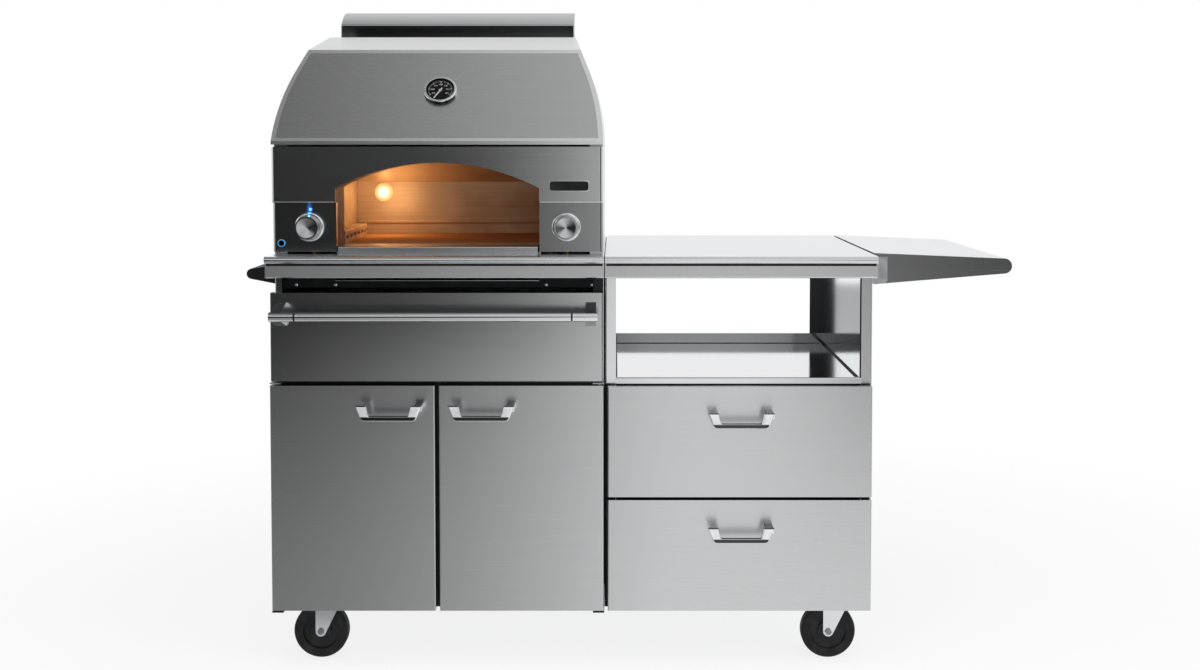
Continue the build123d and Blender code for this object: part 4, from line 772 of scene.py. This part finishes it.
class CART_OT_hardware(bpy.types.Operator):
    """Dress handles, frame, slides, casters and the black pieces"""

    bl_idname = "cart.hardware"
    bl_label = "Hardware"

    def execute(self, context):
        look, pull_bar, low_pivot = context.scene.cart_finish, 0.0095, 0.3
        chrome = polished_metal("bright_chrome", look.chrome, 0.05, 0.06)
        dress(chrome, "left_stem", "right_stem", "knob_bezels")
        dress(drawn_bar("drawn_chrome", look.chrome), "main_handle")
        for name in ("upper_handle", "lower_handle", "left_door_handle", "right_door_handle"):
            bar_top = float(corners(name)[0][2]) + pull_bar
            dress(cast_pull(f"{name}_chrome", look.chrome, bar_top), name)
        dress(plated_steel("zinc_plate", look.zinc, 0.30), "caster_plates")
        coat = plated_steel("galvanised_sheet", look.galvanised, 0.42)
        sets, kinds = ("main", "upper", "lower"), ("drawer_box", "slides")
        drawers = [f"{name}_{kind}" for name in sets for kind in kinds]
        dress(coat, "base_frame", "slide_rails", "door_pivots", "shelf_brackets", *drawers)
        enamel = black_enamel("black_enamel", look.enamel)
        # Black on the push handle is painted shade; the heat shield's black is its own.
        dress(enamel, "heat_shield", "push_handle")
        # The lower door pivots are black, painted shade.
        pivots = Facets("door_pivots")
        pivots.dress(pivots.z < low_pivot, enamel)
        self.bar_rings(enamel)
        self.slot_edges(coat)
        self.casters(look)
        return {"FINISHED"}

    def bar_rings(self, black):
        """Black in the grooves of the wide drawer's bar, which lie under its skin, and on the tops of its
        posts: painted shade."""
        part, end, skin = Facets("main_handle"), 0.01, 0.0005
        near, far = part.reach((part.nx < -NEARLY) & (part.x < part.low[0] + TOUCH))
        centre, radius = (near + far) / 2, (far[2] - near[2]) / 2
        away = np.hypot(part.y - centre[1], part.z - centre[2])
        within = (part.x > part.low[0] + end) & (part.x < part.high[0] - end)
        post = (part.nz > NEARLY) & (part.y > far[1])
        part.dress((within & (away < radius - skin)) | post, black)

    def slot_edges(self, highlight_metal):
        """Galvanised metal on the cut edges of the heat shield's slot, near its front: a painted highlight.
        """
        (part, slot), end, cut = shield_slot(), 0.02, 0.3
        level = (part.x > part.low[0] + end) & (part.x < part.high[0] - end)
        part.dress(slot & (np.abs(part.ny) < cut) & level, highlight_metal)

    def casters(self, look):
        """Forks in bright zinc with darker bolt ends, and wheels with a dull tread round a smoother hub."""
        bolt_radius, bolt_end, hub_share = 0.0075, 0.006, 0.335
        fork = polished_metal("bright_zinc", look.zinc, 0.30, 0.10)
        bolt = polished_metal("bolt_steel", shade(look.zinc, 0.30), 0.25, 0.10)
        tread = wheel_rubber("tread_rubber", look.rubber, 0.50)
        hub = wheel_rubber("hub_rubber", look.rubber, 0.30)
        for name in [n[: -len("_wheel")] for n in NODES if n.endswith("_wheel")]:
            dress(fork, f"{name}_fork")
            dress(tread, f"{name}_wheel")
            axle, _ = joint_line(f"{name}_roll")
            part = Facets(f"{name}_fork")
            ends = np.hypot(part.x - axle[0], part.z - axle[2]) < bolt_radius
            reached = np.abs(part.y - axle[1])
            part.dress(ends & (reached > reached[ends].max() - bolt_end), bolt)
            part = Facets(f"{name}_wheel")
            away = np.hypot(part.x - axle[0], part.z - axle[2])
            part.dress(away < hub_share * (part.high[2] - part.low[2]), hub)


class CART_OT_oven_inside(bpy.types.Operator):
    """Dress the lining, stone, burners, lamp and gas fittings"""

    bl_idname = "cart.oven_inside"
    bl_label = "Oven inside"

    def execute(self, context):
        look = context.scene.cart_finish
        dress(heat_lining("heat_lining", look.lining), "oven_liner", "burner_guard", "gas_burners")
        dress(fired_stone("fired_stone", look.stone), "hearth_stone")
        low, high = corners("oven_lamp")
        middle = (float(low[0] + high[0]) / 2, float(low[2] + high[2]) / 2)
        radius, glow = float(high[0] - low[0]) / 2, context.scene.cart_studio.lamp_glow
        dress(lit_lens("lamp_lens", look.lamp, glow, middle, radius), "oven_lamp")
        dress(cast_brass("gas_brass"), "gas_manifold")
        return {"FINISHED"}


class CART_OT_thermometer(bpy.types.Operator):
    """Dress the thermometer and give it a scale and a glass"""

    bl_idname = "cart.thermometer"
    bl_label = "Thermometer"

    def execute(self, context):
        look, sizes = context.scene.cart_finish, context.scene.cart_fittings
        flat, deepest, least_radius, downward, level = 0.99, -0.002, 0.030, 0.3, 1e-5
        centre, inward = joint_line("gauge_swing")
        normal = -inward
        case = Facets("gauge_case")
        depth = (case.middles - centre) @ normal
        away = np.linalg.norm(case.middles - centre - depth[:, None] * normal, axis=1)
        facing = case.normals @ normal
        dial = float(depth[(facing > flat) & (depth < 0.0) & (depth > deepest)].max())
        face = (facing > flat) & (np.abs(depth - dial) < level)
        radius = max(float(away[face].max()), least_radius)
        dress(polished_metal("gauge_chrome", look.chrome, 0.08, 0.06), "gauge_case")
        case.dress(face, printed("dial_black", look.dial))
        # The case's downward faces are painted dark, painted shade.
        under = polished_metal("gauge_under", shade(look.chrome, 0.06), 0.2, 0.06)
        case.dress((case.nz < -downward) & (facing < TURNED), under)
        dress(printed("needle_white", look.print), "gauge_needle")
        self.scale(centre + dial * normal, normal, radius, look, sizes)
        self.glass(centre, normal, radius)
        return {"FINISHED"}

    def scale(self, seat, normal, radius, look, sizes):
        """Marks round the dial: bars on a circle, each fifth one longer, wider and numbered."""
        level, up = basis(normal)
        lift, rim, number_ring, number_height = 0.00012, 0.95, 0.60, 0.20
        seat = seat + lift * normal
        start = -math.pi / 2 + (TURN - sizes.dial_sweep) / 2
        grids, numbers = [], []
        for number in range(sizes.dial_marks):
            angle = start + sizes.dial_sweep * number / (sizes.dial_marks - 1)
            main = number % 5 == 0
            outward = math.cos(angle) * level + math.sin(angle) * up
            across = -math.sin(angle) * level + math.cos(angle) * up
            root, half = (0.80, 0.00075) if main else (0.86, 0.0004)
            ends = radius * np.array((root, rim))
            bar = seat + ends[:, None, None] * outward
            grids.append(bar + np.array((half, -half))[None, :, None] * across)
            if main:
                middle, value = seat + number_ring * radius * outward, 100 * (number // 5 + 1)
                numbers.append(self.number(value, middle, (level, up), radius * number_height))
        white = printed("dial_print", look.print)
        piece("dial_marks", grids, white, "needle_paint")
        starts = np.cumsum([0] + [len(points) for points, _ in numbers])
        points = np.concatenate([points for points, _ in numbers])
        faces = np.concatenate([faces + first for (_, faces), first in zip(numbers, starts)])
        surface("dial_numbers", points, faces, white, "needle_paint")

    def number(self, value, middle, plane, height):
        """A plain number made flat triangles and laid upright on the dial."""
        curve = bpy.data.curves.new("number", "FONT")
        curve.body, curve.size, curve.align_x, curve.align_y = str(value), height, "CENTER", "CENTER"
        curve.resolution_u = 3
        text = bpy.data.objects.new("number", curve)
        flat = bpy.data.meshes.new_from_object(text)
        flat.calc_loop_triangles()
        points = np.empty(len(flat.vertices) * 3)
        faces = np.empty(len(flat.loop_triangles) * 3, dtype=np.int32)
        flat.vertices.foreach_get("co", points)
        flat.loop_triangles.foreach_get("vertices", faces)
        points = points.reshape(-1, 3)
        bpy.data.objects.remove(text)
        bpy.data.curves.remove(curve)
        bpy.data.meshes.remove(flat)
        return middle + points[:, :1] * plane[0] + points[:, 1:2] * plane[1], faces.reshape(-1, 3)

    def glass(self, centre, normal, radius):
        """A shallow dome over the dial: height falls with the square of the radius."""
        foot, bulge, thick, rows = 0.0034, 0.0012, 0.0008, 9
        out = np.linspace(0.0, radius, rows)
        rise = foot + bulge * (1 - (out / radius) ** 2)
        outer = turned(centre, normal, np.stack((out, rise), axis=-1), GLASS_SIDES)
        inner = turned(centre, normal, np.stack((out[::-1], rise[::-1] - thick), axis=-1), GLASS_SIDES)
        pane = np.concatenate((outer, inner))
        piece("gauge_glass", [pane], clear_glass("gauge_pane"), "lamp_glass", ROUND_CREASE)


class CART_OT_controls(bpy.types.Operator):
    """Dress the knobs and the light button, and add their blue lights"""

    bl_idname = "cart.controls"
    bl_label = "Controls"

    def execute(self, context):
        look, face_share = context.scene.cart_finish, 0.4
        grip = polished_metal("knob_grip", look.chrome, 0.14, 0.16)
        for knob in ("left_knob", "right_knob"):
            middle, _ = joint_line(f"{knob}_turn")
            dress(grip, knob)
            # The face takes a darker copy of the chrome, painted shade.
            face = spun_face(f"{knob}_face", shade(look.chrome, 0.66), (middle[0], middle[2]))
            part = Facets(knob)
            depth = part.y - part.low[1]
            part.dress((part.ny < -TURNED) & (depth < face_share * (part.high[1] - part.low[1])), face)
        self.signal(look, context.scene.cart_fittings.signal_radius)
        self.button(look)
        return {"FINISHED"}

    def signal(self, look, radius):
        """A domed lens on the left bezel, over the knob."""
        height, clear, strength, rows = 0.0022, 0.0006, 4.0, 7
        low, high = corners("left_knob")
        origin = ((low[0] + high[0]) / 2, corners("knob_bezels")[0][1], high[2] + radius + clear)
        lens = turned(origin, FORWARD, dome_profile(radius, height, rows), LENS_SIDES)
        blue = glowing("signal_blue", look.signal, strength)
        piece("signal_lens", [lens], blue, "lamp_glass", ROUND_CREASE)

    def button(self, look):
        """A lit ring round the light button: a torus section on the button's bezel."""
        sunk, clear, half, rows = 0.0010, 0.0012, 0.0007, 13
        low, high = corners("light_button")
        dress(polished_metal("button_cap", look.enamel, 0.18, 0.1), "light_button")
        middle = ((low[0] + high[0]) / 2, low[1] + sunk, (low[2] + high[2]) / 2)
        mean = (high[0] - low[0]) / 2 + clear
        angle = np.linspace(0.0, TURN, rows)
        profile = np.stack((mean + half * np.cos(angle), half * np.sin(angle)), axis=-1)
        blue = glowing("button_blue", (0.05, 0.30, 0.62), 1.0)
        ring = turned(middle, FORWARD, profile, RING_SIDES)
        piece("button_ring", [ring], blue, "lamp_glass", ROUND_CREASE)


class CART_OT_fasteners(bpy.types.Operator):
    """Add the sheet screws and bolts"""

    bl_idname = "cart.fasteners"
    bl_label = "Fasteners"

    def execute(self, context):
        look, sizes = context.scene.cart_finish, context.scene.cart_fittings
        steel = polished_metal("screw_steel", look.zinc, 0.22, 0.2)
        head = dome_profile(sizes.screw_radius, sizes.screw_height)
        bolt = dome_profile(sizes.screw_radius * 1.5, sizes.screw_height * 2)
        for name, places, normal, profile, slot in (
            ("shield_screws", self.shield(), FORWARD, head, "galvanised_steel"),
            ("rear_screws", self.rear(sizes), BACKWARD, head, "galvanised_steel"),
            ("body_screws", self.oven_back(sizes), BACKWARD, head, "galvanised_steel"),
            ("caster_bolts", self.casters(), DOWN, bolt, "zinc_plate"),
        ):
            piece(name, [turned(spot, normal, profile, SCREW_SIDES) for spot in places], steel, slot)
        return {"FINISHED"}

    def shield(self):
        """Four places on the heat shield's front, two each side of its slot."""
        low, high = corners("heat_shield")
        rise, parts = 0.3, (0.06, 0.18, 0.825, 0.965)
        width, z = high[0] - low[0], low[2] + rise * (high[2] - low[2])
        return [(low[0] + part * width, low[1], z) for part in parts]

    def rear(self, sizes):
        """Rows along the rear panel's lower edge, its ends and the middle of the cart."""
        low, high = corners("rear_panel")
        inset, pitch = sizes.screw_inset, sizes.screw_pitch
        left, right = low[0] + inset, high[0] - inset
        split = corners("oven_deck")[1][0]
        places = [(x, high[1], low[2] + inset) for x in spaced(left, right, pitch)]
        levels = spaced(low[2] + inset, high[2] - inset, pitch)[1:]
        columns = (left, split - inset, split + inset, right)
        return places + [(x, high[1], z) for x in columns for z in levels]

    def oven_back(self, sizes):
        """A row along the top and bottom of the oven's back."""
        low, high = corners("oven_body")
        inset, pitch = sizes.screw_inset, 0.2
        row = spaced(low[0] + 2 * inset, high[0] - 2 * inset, pitch)
        return [(x, high[1], z) for z in (low[2] + inset, high[2] - inset) for x in row]

    def casters(self):
        """Four under each caster plate, near its corners."""
        plate_half, inset, thick = 0.05, 0.013, 0.004
        half, z = plate_half - inset, corners("caster_plates")[1][2] - thick
        pivots = [joint_line(name)[0] for name in JOINTS if name.endswith("_swivel")]
        around = [(i * half, j * half) for i in (-1, 1) for j in (-1, 1)]
        return [(pivot[0] + x, pivot[1] + y, z) for pivot in pivots for x, y in around]


class CART_OT_trim(bpy.types.Operator):
    """Add the black strips of painted shade, the bright strips and sheet edges of painted highlight, and the
    ledge at the back of the oven
    """

    bl_idname = "cart.trim"
    bl_label = "Shade strips and highlights"

    def execute(self, context):
        look = context.scene.cart_finish
        shade_strip = wheel_rubber("seal_rubber", look.rubber, 0.5)
        piece("nose_seals", [self.nose(name) for name in ("oven_deck", "counter_top")], shade_strip, "wheel_rubber")
        piece("bay_seals", self.bay(), shade_strip, "wheel_rubber")
        piece("door_stops", self.door_stops(), shade_strip, "wheel_rubber")
        bright = polished_metal("edge_bright", look.chrome, 0.2, 0.1)
        piece("panel_edges", self.panels(), bright, "bright_chrome")
        piece("shield_lip", [self.shield()], bright, "galvanised_steel")
        piece("back_ledge", [self.ledge()], heat_lining("ledge_lining", look.lining), "lining_steel")
        satin, beside = cast_pull("satin_edge", look.chrome, 0.0), 0.02
        mouth = corners("mouth_throat")[0][0]
        # The panels' sides at the mouth's left edge take bright chrome, a painted highlight.
        for part in (Facets("arch_panel"), Facets("control_panels")):
            part.dress((part.nx > NEARLY) & (np.abs(part.x - mouth) < beside), satin)
        return {"FINISHED"}

    def nose(self, name):
        """A black strip in the corner under a worktop's nose, along its front: painted shade."""
        part, end, sunk, drop, half = Facets(name), 0.003, 0.0006, 0.0024, (0.0, 0.0012, 0.0026)
        apron = part.reach(part.apron())[0][1]
        under = part.reach((part.nz < -NEARLY) & (part.y < apron - TOUCH))[0][2]
        y, z = apron - sunk, under - drop
        return strip((part.low[0] + end, y, z), (part.high[0] - end, y, z), half)

    def bay(self):
        """Black strips along both sides of the bay's tray, and up the front of its right lining: painted
        shade.
        """
        part, margin, half, clear = Facets("bay_liner"), 0.05, 0.0022, 0.001
        low, high, front, back = part.low, part.high, 0.014, 0.004
        inside = (part.y > low[1] + margin) & (part.y < high[1] - margin)
        floor = part.reach((part.nz > SQUARE) & inside)[0][2]
        left = part.reach(part.nx > SQUARE)[0][0]
        right = part.reach(part.nx < -SQUARE)[1][0]
        near, far, z = low[1] + front, high[1] - back, floor + clear
        level = [strip((x, near, z), (x, far, z), (half, 0.0, half)) for x in (left + clear, right - clear)]
        return [*level, strip((right, near, floor), (right, near, high[2]), (half, half, 0.0))]

    def door_stops(self):
        """Black strips on the frame, behind the gap of the doors and behind both ends of the drawers:
        painted shade in the gaps.
        """
        left, right = corners("left_door"), corners("right_door")
        walls, end = corners("centre_walls"), corners("right_wall")
        proud, half, lap, gap, clear, edge = 0.001, 0.0027, 0.0035, 0.0015, 0.001, 0.004
        above, behind_rail = 0.002, 0.012
        y = corners("base_frame")[0][1] - proud
        foot, top = left[0][2] + above, corners("mid_rail")[0][2] + behind_rail
        spans = (
            (left[1][0] - lap, right[0][0] + lap),
            (right[1][0] + gap, walls[1][0] - clear),
            (end[0][0] + clear, end[1][0] - edge),
        )
        return [
            strip(((a + b) / 2, y, foot), ((a + b) / 2, y, top), ((b - a) / 2, half, 0.0)) for a, b in spans
        ]

    def panels(self):
        """A bright strip along the arch panel's lower edge, over each control panel: a painted highlight."""
        low, high = corners("arch_panel")
        mouth, end, clear, sunk = corners("mouth_throat"), 0.002, 0.001, 0.0003
        half = (0.0, 0.0008, 0.0010)
        spans = ((low[0] + end, mouth[0][0] - clear), (mouth[1][0] + clear, high[0] - end))
        y, z = low[1] + sunk, low[2] + half[2]
        return [strip((a, y, z), (b, y, z), half) for a, b in spans]

    def shield(self):
        """A bright strip along the lower edge of the heat shield's slot: a painted highlight."""
        (part, slot), half = shield_slot(), (0.0, 0.0005, 0.0008)
        near, far = part.reach(slot & (part.nz > NEARLY))
        y, z = part.low[1], near[2] - half[2]
        return strip((near[0], y, z), (far[0], y, z), half)

    def ledge(self):
        """A low ledge across the lining's back, a little above the stone."""
        part, sunk, rise, half = Facets("oven_liner"), 0.002, 0.030, (0.0, 0.004, 0.004)
        rear = part.y > 0.0
        back = part.reach((part.ny < -SQUARE) & rear)[1][1]
        left = part.reach((part.nx > SQUARE) & rear)[0][0]
        right = part.reach((part.nx < -SQUARE) & rear)[1][0]
        y, z = back - sunk, corners("hearth_stone")[1][2] + rise
        return strip((left + sunk, y, z), (right - sunk, y, z), half)


class CART_OT_badge(bpy.types.Operator):
    """Add the blank plate on the arch panel"""

    bl_idname = "cart.badge"
    bl_label = "Blank plate"

    def execute(self, context):
        look, sizes = context.scene.cart_finish, context.scene.cart_fittings
        low, high = corners("arch_panel")
        centre = np.array((high[0] - sizes.badge_right, low[1], low[2] + sizes.badge_low))
        rim = polished_metal("badge_rim", look.chrome, 0.12, 0.1)
        field = black_enamel("badge_field", look.enamel)
        half = np.array((sizes.badge_width / 2, sizes.badge_height / 2))
        depth, bevel, band, groove, border = sizes.badge_depth, 0.0006, 0.0022, 0.0026, 0.0024
        inner = half - border
        frame_rings = [(0.0, 0.0), (0.0, depth * 0.7), (bevel, depth), (band, depth), (groove, depth * 0.6)]
        field_rings = [(0.0, 0.0), (0.0, depth * 0.62), (inner[1] - 1e-5, depth * 0.66)]
        piece("badge_frame", [self.plate(centre, half, frame_rings)], rim, "bright_chrome")
        piece("badge_plate", [self.plate(centre, inner, field_rings)], field, "black_enamel")
        return {"FINISHED"}

    def plate(self, centre, half, rings, steps=64):
        """Rounded rectangles one inside the other: each ring is a superellipse of power 8,
        drawn in by an inset and lifted off the panel by a height."""
        across, up = superellipse(8, steps)
        inset, lift = np.array(rings).T
        points = np.empty((len(rings), steps + 1, 3))
        points[..., 0] = centre[0] + (half[0] - inset)[:, None] * across
        points[..., 1] = centre[1] - lift[:, None]
        points[..., 2] = centre[2] + (half[1] - inset)[:, None] * up
        return points


class CART_OT_stage(bpy.types.Operator):
    """Set up the floor, the light and the camera"""

    bl_idname = "cart.stage"
    bl_label = "Studio"

    def execute(self, context):
        studio, look = context.scene.cart_studio, context.scene.cart_finish
        self.camera(context.scene, studio)
        self.world(context.scene, studio)
        self.floor(studio)
        self.cards(studio)
        self.lamps(studio, look)
        context.scene.view_settings.view_transform = "Standard"
        return {"FINISHED"}

    def add(self, name, data, where=(0.0, 0.0, 0.0)):
        """A new object of the stage."""
        made = bpy.data.objects.new(name, data)
        made.location = where
        bpy.context.scene.collection.objects.link(made)
        return made

    def camera(self, scene, studio):
        """A camera in front, tilted a little down, with a shifted lens."""
        data = bpy.data.cameras.new("camera")
        data.sensor_width = 36.0
        data.lens, data.shift_x, data.shift_y = studio.lens, studio.shift_x, studio.shift_y
        scene.camera = self.add("camera", data, studio.eye)
        scene.camera.rotation_euler = (math.pi / 2 - studio.tilt, 0.0, 0.0)

    def world(self, scene, studio):
        """White to the eye and in reflections, and an even fill for the rest."""
        scene.world = bpy.data.worlds.new("studio")
        tree = Tree(scene.world)
        tree.nodes.clear()
        fill = tree.node("ShaderNodeBackground", sockets={0: WHITE, 1: studio.fill})
        white = tree.node("ShaderNodeBackground", sockets={0: WHITE, 1: 1.0})
        made = tree.nodes.new("ShaderNodeOutputWorld")
        tree.links.new(tree.either(tree.seen(), fill, white).socket, made.inputs[0])

    def floor(self, studio):
        """A wide pale floor that shows white further out and keeps the shadow near the cart."""
        paint, wide = Paint("pale_floor"), (-40.0, 40.0)
        radius = paint.away((0.0, 0.0), "XY")
        kept = radius.ramp(studio.floor_near, studio.floor_far, studio.floor_shadow, 0.0)
        matt = paint.node("ShaderNodeBsdfDiffuse", sockets={0: shade((0.92, 0.92, 0.92))})
        white = paint.node("ShaderNodeEmission", sockets={0: WHITE, 1: 1.0})
        both = paint.either(paint.seen() * (1.0 - kept), matt, white)
        self.sheet("floor", wide, wide, (0.0, 0.0), paint, both)

    def cards(self, studio):
        """Studio cards that only reflections see. Those in front are dark at the left and white at the
        right, along lines that fan out from behind the cart; the others give the back and sides tone."""
        wide, near, far, back, low, top = (-9.0, 9.0), -0.45, -6.0, 0.6, (0.004, 0.004), (4.5, 4.5)

        def front_floor(paint):
            across, close = self.fan(paint, studio), paint.axis("Y").ramp(-4.5, -1.0)
            lit = across.rise(-0.92, 0.10)
            dim = across.ramp(0.25, 0.75) * (1.0 - close) * 0.6
            return lit**1.6 * (1.0 - dim) * 0.96 + (1.0 - lit) * close * 0.27 + 0.01

        def curtain(paint):
            across, high = self.fan(paint, studio), paint.axis("Z").ramp(2.0, 3.2)
            lit = across.rise(-0.40, 0.08) ** 2.4 * (1.0 - across.ramp(0.28, 0.78) * 0.97) * 0.98 + 0.015
            return lit + (1.0 - lit) * high

        def slope(letter, start, end, gain=0.6, base=0.16):
            return lambda paint: paint.axis(letter).rise(start, end) * gain + base

        beside = slope("Y", -2.5, 2.5)
        self.card("front_floor_card", wide, (far, near), low, front_floor)
        self.card("front_curtain", wide, (far, far), (0.0, 3.5), curtain)
        self.card("ceiling_card", (-6.0, 6.0), (-5.0, 1.5), top, slope("X", -1.6, 0.6, 0.57, 0.18))
        self.card("rear_floor_card", wide, (back, 9.0), low, slope("X", -3.0, 2.5))
        self.card("left_floor_card", (-9.0, -1.05), (near, back), low, beside)
        self.card("right_floor_card", (1.2, 9.0), (near, back), low, beside)

    def fan(self, paint, studio):
        """Where a card's point falls on the cart's front, along a line from the fan's point behind."""
        front = corners("left_door")[0][1]
        across, deep, _ = studio.fan
        return (paint.axis("X") - across) * (deep - front) / (deep - paint.axis("Y"))

    def card(self, name, x, y, z, level):
        """A card seen by glossy rays alone, from black to white by a level that its paint works out."""
        paint = Paint(name)
        black = paint.node("ShaderNodeEmission", sockets={1: 0.0})
        white = paint.node("ShaderNodeEmission", sockets={1: 1.0})
        made = self.sheet(name, x, y, z, paint, paint.either(level(paint), black, white))
        made.visible_camera = made.visible_diffuse = made.visible_shadow = False
        made.visible_transmission = made.visible_volume_scatter = False

    def sheet(self, name, x, y, z, paint, surface):
        """A flat rectangle of the stage, from low and high values of which one pair is equal."""
        low, high = np.array((x, y, z)).T
        first, second = np.diag(high - low)[high != low]
        points = np.array((low, low + first, low + first + second, low + second))
        mesh = bpy.data.meshes.new(name)
        mesh.from_pydata(points.tolist(), [], [(0, 1, 2, 3)])
        paint.links.new(surface.socket, paint.nodes["Material Output"].inputs[0])
        mesh.materials.append(paint.owner)
        made = self.add(name, mesh)
        return made

    def lamps(self, studio, look):
        """Two soft boxes, the lamp in the oven and the blue light over the left knob."""
        self.softbox("top_softbox", (0.2, -1.2, 3.6), (0.0, 0.0, 0.7), 3.0, 55.0)
        self.softbox("right_softbox", (3.4, -2.6, 2.2), (0.0, 0.0, 0.8), 2.2, 40.0)
        low, high = corners("oven_lamp")
        middle = (low + high) / 2
        aside, before, below = 0.03, 0.09, 0.01
        inside = (middle[0] + aside, low[1] - before, middle[2] - below)
        self.bulb("oven_light", inside, look.lamp, studio.lamp_power, 0.03).visible_glossy = False
        low, high = corners("left_knob")
        before, above = 0.004, 0.012
        glow = ((low[0] + high[0]) / 2, corners("knob_bezels")[0][1] - before, high[2] + above)
        self.bulb("signal_light", glow, look.signal, 0.008, 0.002)

    def softbox(self, name, where, target, size, power):
        """A square area light turned to a target."""
        data = bpy.data.lights.new(name, "AREA")
        data.energy, data.size = power, size
        made = self.add(name, data, where)
        made.rotation_euler = (Vector(target) - Vector(where)).to_track_quat("-Z", "Y").to_euler()
        made.visible_glossy = False

    def bulb(self, name, where, tint, power, size):
        """A small round light."""
        data = bpy.data.lights.new(name, "POINT")
        data.energy, data.color, data.shadow_soft_size = power, tint, size
        return self.add(name, data, where)


OPERATORS = (
    CART_OT_steel,
    CART_OT_hardware,
    CART_OT_oven_inside,
    CART_OT_thermometer,
    CART_OT_controls,
    CART_OT_fasteners,
    CART_OT_trim,
    CART_OT_badge,
    CART_OT_stage,
)


class CART_PT_panel(bpy.types.Panel):
    """The cart's operators in the sidebar"""

    bl_label = "Oven Cart"
    bl_idname = "CART_PT_panel"
    bl_space_type = "VIEW_3D"
    bl_region_type = "UI"
    bl_category = "Oven Cart"

    def draw(self, context):
        for operator in OPERATORS:
            self.layout.operator(operator.bl_idname)


GROUPS = {"cart_finish": CartFinish, "cart_fittings": CartFittings, "cart_studio": CartStudio}


def register():
    """Registers the property groups, operators and panel."""
    for name, group in GROUPS.items():
        bpy.utils.register_class(group)
        setattr(bpy.types.Scene, name, PointerProperty(type=group))
    for made in (*OPERATORS, CART_PT_panel):
        bpy.utils.register_class(made)


def unregister():
    """Takes away what register added."""
    for made in (CART_PT_panel, *reversed(OPERATORS)):
        bpy.utils.unregister_class(made)
    for name, group in GROUPS.items():
        delattr(bpy.types.Scene, name)
        bpy.utils.unregister_class(group)


def main():
    """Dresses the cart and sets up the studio."""
    register()
    for operator in OPERATORS:
        group, name = operator.bl_idname.split(".")
        getattr(getattr(bpy.ops, group), name)()
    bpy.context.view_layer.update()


if __name__ == "__main__":
    main()
